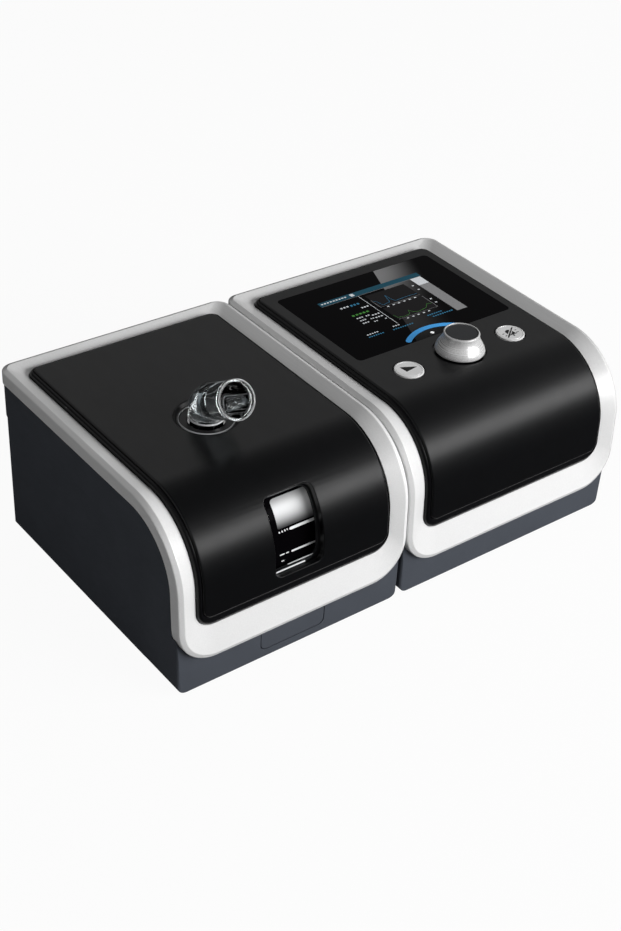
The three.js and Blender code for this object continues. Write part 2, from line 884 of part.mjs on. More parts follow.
// Stations of the elbow: straight tail, bend about X and straight mouth
function elbowSolid() {
  const across = new THREE.Vector3(1, 0, 0);
  const tangent = elbow_bend * Math.tan(elbow_angle / 2);
  const station = (point, angle, outer, inner) => ({
    point, direction: new THREE.Vector3(0, -Math.sin(angle), Math.cos(angle)), across, outer, inner,
  });
  const bore = elbow_radius - elbow_wall;
  const stations = [station(new THREE.Vector3(0, 0, -elbow_tail), 0, elbow_radius, bore)];
  const start = elbow_rise - tangent;
  for (let i = 0; i <= corner_steps; i += 1) {
    const angle = elbow_angle * i / corner_steps;
    const point = new THREE.Vector3(
      0, -elbow_bend * (1 - Math.cos(angle)), start + elbow_bend * Math.sin(angle));
    stations.push(station(point, angle, elbow_radius, bore));
  }
  const along = (length) => new THREE.Vector3(
    0, -length * Math.sin(elbow_angle), elbow_rise + length * Math.cos(elbow_angle));
  const rim_start = elbow_reach - mouth_rim;
  stations.push(station(along(rim_start - elbow_wall), elbow_angle, elbow_radius, bore));
  stations.push(station(along(rim_start), elbow_angle, mouth_radius, mouth_radius - elbow_wall));
  stations.push(station(along(elbow_reach), elbow_angle, mouth_radius, mouth_radius - elbow_wall));
  const place = (solid) => solid.translate([outlet_shift, -outlet_back, crest_height]);
  const flange = turned([
    [elbow_radius - fit, fit - dish_fall], [flange_radius, fit - dish_fall],
    [flange_radius, fit - dish_fall + flange_height / 2],
    [elbow_radius + elbow_wall, fit - dish_fall + flange_height],
    [elbow_radius + elbow_wall, swivel_ring_height],
    [elbow_radius - fit, swivel_ring_height], [elbow_radius - fit, fit - dish_fall],
  ], 'z', [0, 0, 0]);
  return place(join(pipe(stations), flange));
}

function elbowRingSolid() {
  return ring(elbow_radius + fit, elbow_radius + fit + ring_width,
    -liner_low - fit - ring_height, -liner_low - fit, 'z',
    [outlet_shift, -outlet_back, crest_height]);
}

function lidSealSolid() {
  const inner = elbow_radius + 2 * fit + ring_width;
  return ring(inner, inner + seal_width, -tank_cover_drop + fit, -liner_low - fit, 'z',
    [outlet_shift, -outlet_back, crest_height]);
}

// Water tank
const tank_cover_top = crest_height - tank_cover_drop;
const tank_cover_low = tank_cover_top - tank_cover_wall;
const tank_rim = tank_cover_low - tank_seal_height - 2 * fit;
const tank_cover_front = -flat_run + tank_step;

function tankProfile(inset) {
  const drop = tank_front_drop + inset;
  const runs = [...bendStations(), run_length - lip_height];
  const curve = runs.map((run) => skinPoint(0, run, drop));
  const last = curve[curve.length - 1];
  const points = curve.map((point) => [point.y, point.z]);
  return [
    [-tank_back - inset, tank_floor + inset], [-tank_back - inset, tank_rim],
    [tank_cover_front - fit - inset, tank_rim],
    [tank_cover_front - fit - inset, crest_height - drop],
    ...points, [last.y, tank_floor + inset],
  ];
}

function tankBodySolid() {
  const half = tank_width / 2;
  const outer = pushed(polygon(tankProfile(0)), -half, half, 'x');
  const inner = pushed(polygon(tankProfile(tank_wall)), tank_wall - half, half - tank_wall, 'x');
  const opening = block(tank_wall - half, half - tank_wall, tank_cover_front - fit + tank_wall,
    -tank_back - tank_wall, tank_floor + tank_wall, crest_height);
  const port = rod(port_radius + fit, 0, half + overrun, 'x', [0, -port_back, port_height],
    small_sides);
  return cut(outer, inner, opening, port);
}

function tankCoverSolid() {
  const half = tank_width / 2;
  const plate = pushed(
    roundedRectangle(-half, half, tank_cover_front, -tank_back, Array(4).fill(tank_wall)),
    tank_cover_low, tank_cover_top, 'z',
  );
  const stub = ring(elbow_radius - elbow_wall, elbow_radius + elbow_wall,
    tank_cover_low - stub_height, tank_cover_top - fit, 'z', [outlet_shift, -outlet_back, 0]);
  const hole = rod(elbow_radius - elbow_wall, tank_cover_low - overrun, tank_cover_top + overrun,
    'z', [outlet_shift, -outlet_back, 0]);
  return cut(join(plate, stub), hole);
}

function tankSealSolid() {
  const half = tank_width / 2;
  const frame = (inset, low, high) => block(
    inset - half, half - inset, tank_cover_front + inset, -tank_back - inset, low, high);
  const low = tank_rim + fit;
  const high = low + tank_seal_height;
  return cut(frame(fit, low, high), frame(fit + tank_wall, low - overrun, high + overrun));
}

function tankPlateSolid() {
  return rod(tank_plate_radius, tank_floor - fit - tank_plate_wall, tank_floor - fit, 'z',
    [0, -heater_shift, 0]);
}

function tankInletSolid() {
  const half = tank_width / 2;
  return ring(port_radius - port_wall, port_radius, half - inlet_length, half, 'x',
    [0, -port_back, port_height], small_sides);
}

const heater_low = shelf_low - fit - heater_flange_height;

function heaterPlateSolid() {
  return turned([
    [0, heater_low], [heater_radius + heater_flange, heater_low],
    [heater_radius + heater_flange, shelf_low - fit], [heater_radius, shelf_low - fit],
    [heater_radius, heater_top], [0, heater_top],
  ], 'z', [0, -heater_shift, 0]);
}

function heaterSpringGeometry() {
  return coil(heater_coil, heater_wire, heater_low - cover_top - 2 * fit, heater_turns);
}

function portSealSolid() {
  const hum_face = hum_width / 2 - base_inset + fit;
  const main_face = hum_width / 2 + module_gap + base_inset - fit;
  const tank_face = tank_width / 2 + fit;
  const bore = port_radius - port_wall;
  return turned([
    [bore, tank_face], [port_radius, tank_face], [port_radius, hum_face],
    [port_radius + port_flange, hum_face], [port_radius + port_flange, main_face],
    [bore, main_face], [bore, tank_face],
  ], 'x', [0, -port_back, port_height], small_sides);
}

// Main module
const socket_face = -base_inset;
const filter_low = filter_height - filter_tall / 2;
const card_z = main_board_height + board_wall + cage_wall + fit;

function mainBaseSolid(body) {
  const half = body.width / 2 - base_inset;
  const under = underSolid(body, 0, foot_height - overrun, cover_top + overrun);
  const port = rod(port_radius + fit, -body.width, 0, 'x', [0, -port_back, port_height]);
  const card_slot = block(half - base_wall - overrun, half + overrun,
    -card_back - card_width / 2 - fit, -card_back + card_width / 2 + fit,
    card_z - fit, card_z + card_wall + fit);
  const socket = rod(socket_radius + fit, -body.width, overrun, 'y',
    [socket_x, 0, socket_height], small_sides);
  const socket_cut = socket.intersect(block(-half, half, -base_wall * 2, overrun, 0, crest_height));
  const box = (grow, y0, y1) => block(
    filter_x - filter_width / 2 - grow, filter_x + filter_width / 2 + grow, y0, y1,
    filter_low - grow, filter_low + filter_tall + grow);
  const cover_floor = -base_inset - filter_cover_wall - fit;
  const sleeve_back = cover_floor - filter_depth - 2 * fit - filter_lip;
  const sleeve = box(filter_lip, sleeve_back, -base_inset - base_wall / 2);
  const filter_space = box(fit, sleeve_back + filter_lip, overrun);
  const filter_open = box(-filter_lip, sleeve_back - overrun, overrun);
  const cover_space = box(filter_cover_margin + fit, cover_floor, overrun);
  return cut(join(baseSolid(body), sleeve), under, port, card_slot, socket_cut,
    filter_space, filter_open, cover_space);
}

function mainCoverSolid(body) {
  const bosses = mainBoardBosses().map(([x, y]) => (
    rod(boss_radius, cover_top - fit, main_board_height - fit, 'z', [x, y, 0], small_sides)
  ));
  return join(coverSolid(body), ...bosses);
}

function mainBoardBosses() {
  const left = main_board_right - main_board_width + boss_margin;
  const right = main_board_right - boss_margin;
  return [-main_board_back - boss_margin, -main_board_front + boss_margin]
    .flatMap((y) => [[left, y], [right, y]]);
}

function mainPanelSolid(body) {
  const left = glass_shift - glass_width / 2 - fit;
  const right = glass_shift + glass_width / 2 + fit;
  const glass_bed = pushed(
    roundedRectangle(left, right, -glass_front - fit, -glass_back + fit,
      Array(4).fill(glass_radius)),
    crest_height - glass_wall - fit, crest_height + overrun, 'z',
  );
  const lcd_half = lcd_width / 2 + lcd_margin + fit;
  const lcd_hole = block(controls_shift - lcd_half, controls_shift + lcd_half,
    -lcd_front - lcd_margin - fit, -lcd_back + lcd_margin + fit,
    crest_height - rim_depth, crest_height);
  const knob_bed = rod(knob_radius + press_travel, -knob_recess, overrun, 'z',
    [controls_shift, -knob_back, crest_height]);
  const shaft_hole = rod(shaft_radius + 2 * fit, -rim_depth, overrun, 'z',
    [controls_shift, -knob_back, crest_height], small_sides);
  const buttons = [-1, 1].map((side) => rod(button_radius + fit, -rim_depth, overrun, 'z',
    [controls_shift + side * button_offset, -button_back, crest_height]));
  return cut(panelSolid(body), glass_bed, lcd_hole, knob_bed, shaft_hole, ...buttons);
}

function controlBoardBosses() {
  const half = control_board_width / 2 - boss_margin;
  return [-control_board_back - boss_margin, -control_board_front + boss_margin]
    .flatMap((y) => [[controls_shift - half, y], [controls_shift + half, y]]);
}

function mainCarrierSolid(body) {
  const bosses = controlBoardBosses().map(([x, y]) => (
    rod(boss_radius, -board_drop + fit, -liner_low + fit, 'z', [x, y, crest_height], small_sides)
  ));
  const shaft_hole = rod(shaft_radius + 2 * fit, -board_drop, 0, 'z',
    [controls_shift, -knob_back, crest_height], small_sides);
  const stems = [-1, 1].map((side) => rod(button_stem + 2 * fit, -board_drop, 0, 'z',
    [controls_shift + side * button_offset, -button_back, crest_height], small_sides));
  return cut(join(linerSolid(body), ...bosses), shaft_hole, ...stems);
}

function arcShape(grow) {
  const shape = new THREE.Shape();
  const outer = arc_radius + arc_width / 2 + grow;
  const inner = arc_radius - arc_width / 2 - grow;
  const [start, end] = [Math.PI / 2 - arc_half_angle, Math.PI / 2 + arc_half_angle];
  const cap = arc_width / 2 + grow;
  shape.absarc(0, 0, outer, start, end);
  shape.absarc(arc_radius * Math.cos(end), arc_radius * Math.sin(end), cap, end, end + Math.PI);
  shape.absarc(0, 0, inner, end, start, true);
  shape.absarc(arc_radius * Math.cos(start), arc_radius * Math.sin(start), cap,
    start + Math.PI, start + 2 * Math.PI);
  return shape;
}

function arcSolid(grow, low, high) {
  return pushed(arcShape(grow), low, high, 'z', arc_steps)
    .translate([controls_shift, -knob_back, crest_height]);
}

function glassSolid() {
  const plate = pushed(
    roundedRectangle(glass_shift - glass_width / 2, glass_shift + glass_width / 2,
      -glass_front, -glass_back, Array(4).fill(glass_radius)),
    crest_height - glass_wall, crest_height, 'z',
  );
  const led = rod(led_radius + fit, -glass_wall - overrun, overrun, 'z',
    [controls_shift, led_distance - knob_back, crest_height], small_sides);
  return cut(plate, arcSolid(fit, -glass_wall - overrun, overrun), led);
}

function lcdSolid() {
  const half = lcd_width / 2 + lcd_margin;
  return block(controls_shift - half, controls_shift + half,
    -lcd_front - lcd_margin, -lcd_back + lcd_margin,
    crest_height - rim_depth, crest_height - glass_wall - fit);
}

function knobSolid() {
  const low = knob_lift;
  const high = knob_height;
  const neck = knob_top_radius - knob_lift;
  const pocket = high - knob_cap_wall - knob_cap_sink - fit;
  const bore = shaft_radius + fit;
  const shares = [[1, 0.05], [0.93, 0.2], [0.6, 0.42], [0.2, 0.62], [0.02, 0.78], [0.05, 0.9]];
  const skirt = shares.map(([width_share, height_share]) => [
    neck + (knob_radius - neck) * width_share, low + (high - low) * height_share]);
  return turned([
    [bore, low], [knob_radius - knob_lift, low], ...skirt,
    [knob_top_radius - knob_lift, high], [knob_cap_radius + fit, high],
    [knob_cap_radius + fit, pocket], [bore, pocket], [bore, low],
  ], 'z', [controls_shift, -knob_back, crest_height]);
}

function knobCapSolid() {
  const high = knob_height - knob_cap_sink;
  return rod(knob_cap_radius, high - knob_cap_wall, high, 'z',
    [controls_shift, -knob_back, crest_height]);
}

function encoderShaftSolid() {
  const high = knob_height - knob_cap_wall - knob_cap_sink - 2 * fit;
  const low = -board_drop + 2 * fit + board_wall + press_travel;
  return rod(shaft_radius, low, high, 'z', [controls_shift, -knob_back, crest_height], small_sides);
}

function encoderSolid() {
  const half = encoder_size / 2;
  const low = crest_height - board_drop + fit;
  const body = block(controls_shift - half, controls_shift + half, -knob_back - half,
    -knob_back + half, low, low + encoder_height);
  const bore = rod(shaft_radius + fit, low + board_wall, low + encoder_height + overrun, 'z',
    [controls_shift, -knob_back, 0], small_sides);
  return cut(body, bore);
}

function buttonSolid(side) {
  const flange_top = -panel_wall - fit;
  const flange_low = flange_top - button_flange;
  const edge = button_lift / 2;
  return turned([
    [0, -liner_low - button_stem_length], [button_stem, -liner_low - button_stem_length],
    [button_stem, flange_low], [button_radius + button_flange, flange_low],
    [button_radius + button_flange, flange_top], [button_radius, flange_top],
    [button_radius, edge], [button_radius - edge, button_lift], [0, button_lift],
  ], 'z', [controls_shift + side * button_offset, -button_back, crest_height]);
}

function switchSolid(side) {
  const half = switch_size / 2;
  const x = controls_shift + side * button_offset;
  const low = crest_height - board_drop + fit;
  return block(x - half, x + half, -button_back - half, -button_back + half,
    low, low + switch_height - 2 * fit);
}

function controlBoardSolid() {
  const half = control_board_width / 2;
  const top = crest_height - board_drop;
  return block(controls_shift - half, controls_shift + half, -control_board_front,
    -control_board_back, top - board_wall, top);
}

function mainBoardSolid() {
  const left = main_board_right - main_board_width;
  const board = block(left, main_board_right, -main_board_front, -main_board_back,
    main_board_height, main_board_height + board_wall);
  const cage_half = card_width / 2 + fit + cage_wall;
  const low = main_board_height + board_wall - fit;
  const cage = block(main_board_right - card_length, main_board_right, -card_back - cage_half,
    -card_back + cage_half, low, card_z + card_wall + fit + cage_wall);
  const space = block(main_board_right - card_length + cage_wall, main_board_right + overrun,
    -card_back - card_width / 2 - fit, -card_back + card_width / 2 + fit,
    card_z - fit, card_z + card_wall + fit);
  return cut(join(board, cage), space);
}

function cardSolid(body) {
  const end = body.width / 2 - base_inset - recess_depth + card_proud;
  return pushed(
    roundedRectangle(end - card_length, end, -card_back - card_width / 2,
      -card_back + card_width / 2, [0, card_wall / 2, card_wall / 2, 0]),
    card_z, card_z + card_wall, 'z',
  );
}

const motor_low = cover_top + fit;
const case_low = motor_low + motor_height + fit;
const case_top = case_low + case_height;
const duct_z = case_low + case_height / 2;

function blowerPlace(solid) {
  return solid.translate([blower_x, -blower_back, 0]);
}

function blowerCaseSolid() {
  const cup = turned([
    [motor_shaft + fit, case_low], [case_radius, case_low], [case_radius, case_top],
    [case_radius - case_wall, case_top], [case_radius - case_wall, case_low + case_wall],
    [motor_shaft + fit, case_low + case_wall], [motor_shaft + fit, case_low],
  ], 'z', [0, 0, 0]);
  const outlet_from = -case_radius - outlet_stub;
  const stub = rod(port_radius, outlet_from, case_wall - case_radius, 'x', [0, 0, duct_z],
    small_sides);
  const bore = rod(port_radius - port_wall, outlet_from - overrun, -case_radius / 2, 'x',
    [0, 0, duct_z], small_sides);
  return blowerPlace(cut(join(cup, stub), bore));
}

function blowerCoverSolid() {
  const low = case_top + fit;
  return blowerPlace(turned([
    [inlet_radius, low], [case_radius, low], [case_radius, low + case_wall],
    [inlet_radius + case_wall, low + case_wall],
    [inlet_radius + case_wall, low + case_wall + inlet_lip],
    [inlet_radius, low + case_wall + inlet_lip], [inlet_radius, low],
  ], 'z', [0, 0, 0]));
}

const impeller_low = case_low + case_wall + impeller_gap;

function impellerSolid() {
  const bore = motor_shaft + fit;
  const disc = turned([
    [bore, impeller_low], [impeller_radius, impeller_low],
    [impeller_radius, impeller_low + impeller_disc],
    [hub_radius, impeller_low + impeller_disc], [hub_radius, impeller_low + impeller_height],
    [bore, impeller_low + impeller_height], [bore, impeller_low],
  ], 'z', [0, 0, 0]);
  const start = hub_radius + blade_wall;
  const middle = (start + impeller_radius) / 2;
  const sweep = impeller_radius / 4;
  const blade = new THREE.Shape();
  blade.moveTo(start, 0);
  blade.quadraticCurveTo(middle, 0, impeller_radius - blade_wall, -sweep);
  blade.lineTo(impeller_radius - blade_wall, blade_wall - sweep);
  blade.quadraticCurveTo(middle, blade_wall, start, blade_wall);
  blade.closePath();
  const blades = Array.from({ length: blade_count }, (_, i) => (
    pushed(blade, impeller_low + impeller_disc - fit, impeller_low + impeller_height, 'z')
      .rotate([0, 0, 360 * i / blade_count])
  ));
  return blowerPlace(join(disc, ...blades));
}

function motorSolid() {
  const shaft_top = impeller_low + impeller_height;
  const high = motor_low + motor_height;
  return blowerPlace(turned([
    [0, motor_low], [motor_radius, motor_low], [motor_radius, high - fit],
    [motor_radius - fit, high], [motor_shaft, high], [motor_shaft, shaft_top], [0, shaft_top],
  ], 'z', [0, 0, 0]));
}

// The duct rises from the blower to the port in the left side wall
function ductSolid(body) {
  const from = blower_x - case_radius - outlet_stub - fit;
  const end = base_inset - body.width / 2;
  const to = end + base_wall;
  const reach = (from - to) / 2;
  const curve = new THREE.CubicBezierCurve3(
    new THREE.Vector3(from, -port_back, duct_z),
    new THREE.Vector3(from - reach, -port_back, duct_z),
    new THREE.Vector3(to + reach, -port_back, port_height),
    new THREE.Vector3(to, -port_back, port_height),
  );
  const across = new THREE.Vector3(0, 1, 0);
  const station = (point, direction) => ({
    point, direction, across, outer: port_radius, inner: port_radius - port_wall,
  });
  const stations = Array.from({ length: bend_steps + 1 }, (_, i) => (
    station(curve.getPoint(i / bend_steps), curve.getTangent(i / bend_steps))
  ));
  const outward = new THREE.Vector3(-1, 0, 0);
  stations.push(station(new THREE.Vector3(end, -port_back, port_height), outward));
  return pipe(stations, small_sides);
}

const filter_front = -base_inset - filter_cover_wall - 2 * fit;

function filterSolid() {
  return block(filter_x - filter_width / 2, filter_x + filter_width / 2,
    filter_front - filter_depth, filter_front, filter_low, filter_low + filter_tall);
}

function filterCoverSolid() {
  const half = filter_width / 2 + filter_cover_margin;
  const low = filter_low - filter_cover_margin;
  const high = filter_low + filter_tall + filter_cover_margin;
  const plate = pushed(
    roundedRectangle(low, high, filter_x - half, filter_x + half, Array(4).fill(grille_slot_width)),
    -base_inset - filter_cover_wall, -base_inset, 'y',
  );
  const pitch = filter_width / grille_slots;
  const reach = filter_tall * grille_slot_share / 2;
  const slots = Array.from({ length: grille_slots }, (_, i) => {
    const x = filter_x - filter_width / 2 + pitch * (i + 1 / 2);
    return block(x - grille_slot_width / 2, x + grille_slot_width / 2,
      -base_inset - filter_cover_wall - overrun, overrun,
      filter_height - reach, filter_height + reach);
  });
  return cut(plate, ...slots);
}

function socketSolid() {
  const back = socket_face - socket_depth;
  const flange_back = -base_inset - base_wall - fit;
  return turned([
    [0, back], [socket_radius + socket_flange, back],
    [socket_radius + socket_flange, flange_back], [socket_radius, flange_back],
    [socket_radius, socket_face], [socket_bore, socket_face],
    [socket_bore, back + socket_wall], [socket_pin, back + socket_wall],
    [socket_pin, socket_face - socket_wall], [0, socket_face - socket_wall],
  ], 'y', [socket_x, 0, socket_height], small_sides);
}

// The scene graph
const machine = new THREE.Group();
const humidifier = new THREE.Group();
const main_unit = new THREE.Group();
const machine_front = -skinPoint(0, run_length - bevel_width, 0).y;
const machine_back = hinge_back + barrel_radius;
machine.position.y = (machine_front - machine_back) / 2;
humidifier.position.x = hum_centre;
main_unit.position.x = main_centre;
machine.add(humidifier, main_unit);

function place(group, name, solid, material) {
  const mesh = new THREE.Mesh(toGeometry(solid), material);
  mesh.name = name;
  group.add(mesh);
  return mesh;
}

const hum_body = { width: hum_width, rim: hum_rim, outer_side: -1, shelf: shelf_top };
const main_body = { width: main_width, rim: main_rim, outer_side: 1, shelf: cover_top };

place(humidifier, 'hum_base', humBaseSolid(hum_body), slate());
place(humidifier, 'hum_bottom', coverSolid(hum_body), dark_plastic());
footPlaces(hum_body).forEach((spot, i) => {
  place(humidifier, `hum_foot_${i + 1}`, footSolid(spot), rubber());
});
place(humidifier, 'lid_frame', lidFrameSolid(hum_body), silver());
place(humidifier, 'lid_trim', trimSolid(hum_body), black_gloss());
place(humidifier, 'lid_panel', cut(panelSolid(hum_body), outletRod(outlet_hole), windowSolid(0)),
  black_satin());
place(humidifier, 'lid_liner', lidLinerSolid(hum_body), dark_plastic());
place(humidifier, 'lid_seal', lidSealSolid(), rubber());
place(humidifier, 'outlet_collar', outletCollarSolid(), black_gloss());
place(humidifier, 'elbow', elbowSolid(), clear());
place(humidifier, 'elbow_ring', elbowRingSolid(), rubber());
place(humidifier, 'hinge_pin_left', hingePinSolid(-1), steel());
place(humidifier, 'hinge_pin_right', hingePinSolid(1), steel());
place(humidifier, 'latch', latchSolid(), slate());
const latch_spring = place(humidifier, 'latch_spring', latchSpringGeometry(), steel());
latch_spring.rotation.x = -Math.PI / 2;
latch_spring.position.set(0, base_front + latch_wall + fit, latch_centre_z);
place(humidifier, 'tank_body', tankBodySolid(), clear());
place(humidifier, 'tank_cover', tankCoverSolid(), clear());
place(humidifier, 'tank_seal', tankSealSolid(), rubber());
place(humidifier, 'tank_plate', tankPlateSolid(), steel());
place(humidifier, 'tank_inlet', tankInletSolid(), clear());
place(humidifier, 'heater_plate', heaterPlateSolid(), steel());
const heater_spring = place(humidifier, 'heater_spring', heaterSpringGeometry(), steel());
heater_spring.position.set(0, -heater_shift, cover_top + fit);
place(humidifier, 'port_seal', portSealSolid(), rubber());

place(main_unit, 'main_base', mainBaseSolid(main_body), slate());
place(main_unit, 'main_bottom', mainCoverSolid(main_body), dark_plastic());
footPlaces(main_body).forEach((spot, i) => {
  place(main_unit, `main_foot_${i + 1}`, footSolid(spot), rubber());
});
place(main_unit, 'main_frame', frameSolid(main_body), silver());
place(main_unit, 'main_trim', trimSolid(main_body), black_gloss());
place(main_unit, 'main_panel', mainPanelSolid(main_body), black_satin());
place(main_unit, 'main_carrier', mainCarrierSolid(main_body), dark_plastic());
place(main_unit, 'screen_glass', glassSolid(), black_gloss());
place(main_unit, 'lcd', lcdSolid(), finish(0x10151a, 0.3));
place(main_unit, 'light_arc', arcSolid(0, -glass_wall, 0), finish(0x3a9be0, 0.3));
place(main_unit, 'status_led', rod(led_radius, -glass_wall, 0, 'z',
  [controls_shift, led_distance - knob_back, crest_height], small_sides), finish(0xf4f6f8, 0.3));
place(main_unit, 'knob', knobSolid(), silver());
place(main_unit, 'knob_cap', knobCapSolid(), black_satin());
place(main_unit, 'encoder_shaft', encoderShaftSolid(), steel());
place(main_unit, 'encoder', encoderSolid(), dark_plastic());
place(main_unit, 'ramp_button', buttonSolid(-1), silver());
place(main_unit, 'mute_button', buttonSolid(1), silver());
place(main_unit, 'ramp_switch', switchSolid(-1), dark_plastic());
place(main_unit, 'mute_switch', switchSolid(1), dark_plastic());
place(main_unit, 'control_board', controlBoardSolid(), board_green());
place(main_unit, 'main_board', mainBoardSolid(), board_green());
place(main_unit, 'blower_case', blowerCaseSolid(), dark_plastic());
place(main_unit, 'blower_cover', blowerCoverSolid(), dark_plastic());
place(main_unit, 'impeller', impellerSolid(), finish(0xd8dadc, 0.5));
place(main_unit, 'blower_motor', motorSolid(), steel());
place(main_unit, 'air_duct', ductSolid(main_body), dark_plastic());
place(main_unit, 'filter', filterSolid(), finish(0x8d9094, 0.95));
place(main_unit, 'filter_cover', filterCoverSolid(), slate());
place(main_unit, 'power_socket', socketSolid(), dark_plastic());
place(main_unit, 'memory_card', cardSolid(main_body), finish(0x1d2f5c, 0.5));

export default machine;
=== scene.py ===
"""Looks of a bedside CPAP machine with its docked humidifier, dressed round the CAD frame."""

import logging
import math
from dataclasses import dataclass, field
from enum import Enum
from typing import Callable, Iterable, Optional, Sequence, Union

import bmesh
import bpy
from mathutils import Matrix, Vector


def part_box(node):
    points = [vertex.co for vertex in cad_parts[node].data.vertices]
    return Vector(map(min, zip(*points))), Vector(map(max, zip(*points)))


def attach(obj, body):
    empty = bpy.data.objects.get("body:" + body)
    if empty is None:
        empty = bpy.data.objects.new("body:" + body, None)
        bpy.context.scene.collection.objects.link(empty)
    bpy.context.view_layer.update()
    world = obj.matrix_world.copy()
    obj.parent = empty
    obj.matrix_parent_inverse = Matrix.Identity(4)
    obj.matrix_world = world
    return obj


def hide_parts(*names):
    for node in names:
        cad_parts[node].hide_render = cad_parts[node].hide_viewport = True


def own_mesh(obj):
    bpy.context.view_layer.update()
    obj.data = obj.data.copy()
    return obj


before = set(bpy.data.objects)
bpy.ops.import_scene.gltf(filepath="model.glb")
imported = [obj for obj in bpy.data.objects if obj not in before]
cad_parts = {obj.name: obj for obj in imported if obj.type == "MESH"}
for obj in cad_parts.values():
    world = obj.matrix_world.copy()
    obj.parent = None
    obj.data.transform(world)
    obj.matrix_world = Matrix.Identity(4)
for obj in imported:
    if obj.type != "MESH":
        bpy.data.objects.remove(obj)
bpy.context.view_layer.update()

log = logging.getLogger("machine")

METRE = 0.001
FIT = 0.3
OVERRUN = 3.0

Pair = tuple[float, float]
Triple = tuple[float, float, float]
Corners = tuple[float, float, float, float]
SHARP_CORNERS: Corners = (0.0, 0.0, 0.0, 0.0)


# Mesh tools


class Axis(Enum):
    """The axis along which a form is pushed or about which it is turned."""

    X = ((0, 0, 1), (1, 0, 0), (0, 1, 0))
    Y = ((0, 1, 0), (0, 0, 1), (1, 0, 0))
    Z = ((1, 0, 0), (0, 1, 0), (0, 0, 1))


class Union3(Enum):
    """What a combination of two solids keeps."""

    CUT = "DIFFERENCE"
    ADD = "UNION"
    KEEP = "INTERSECT"


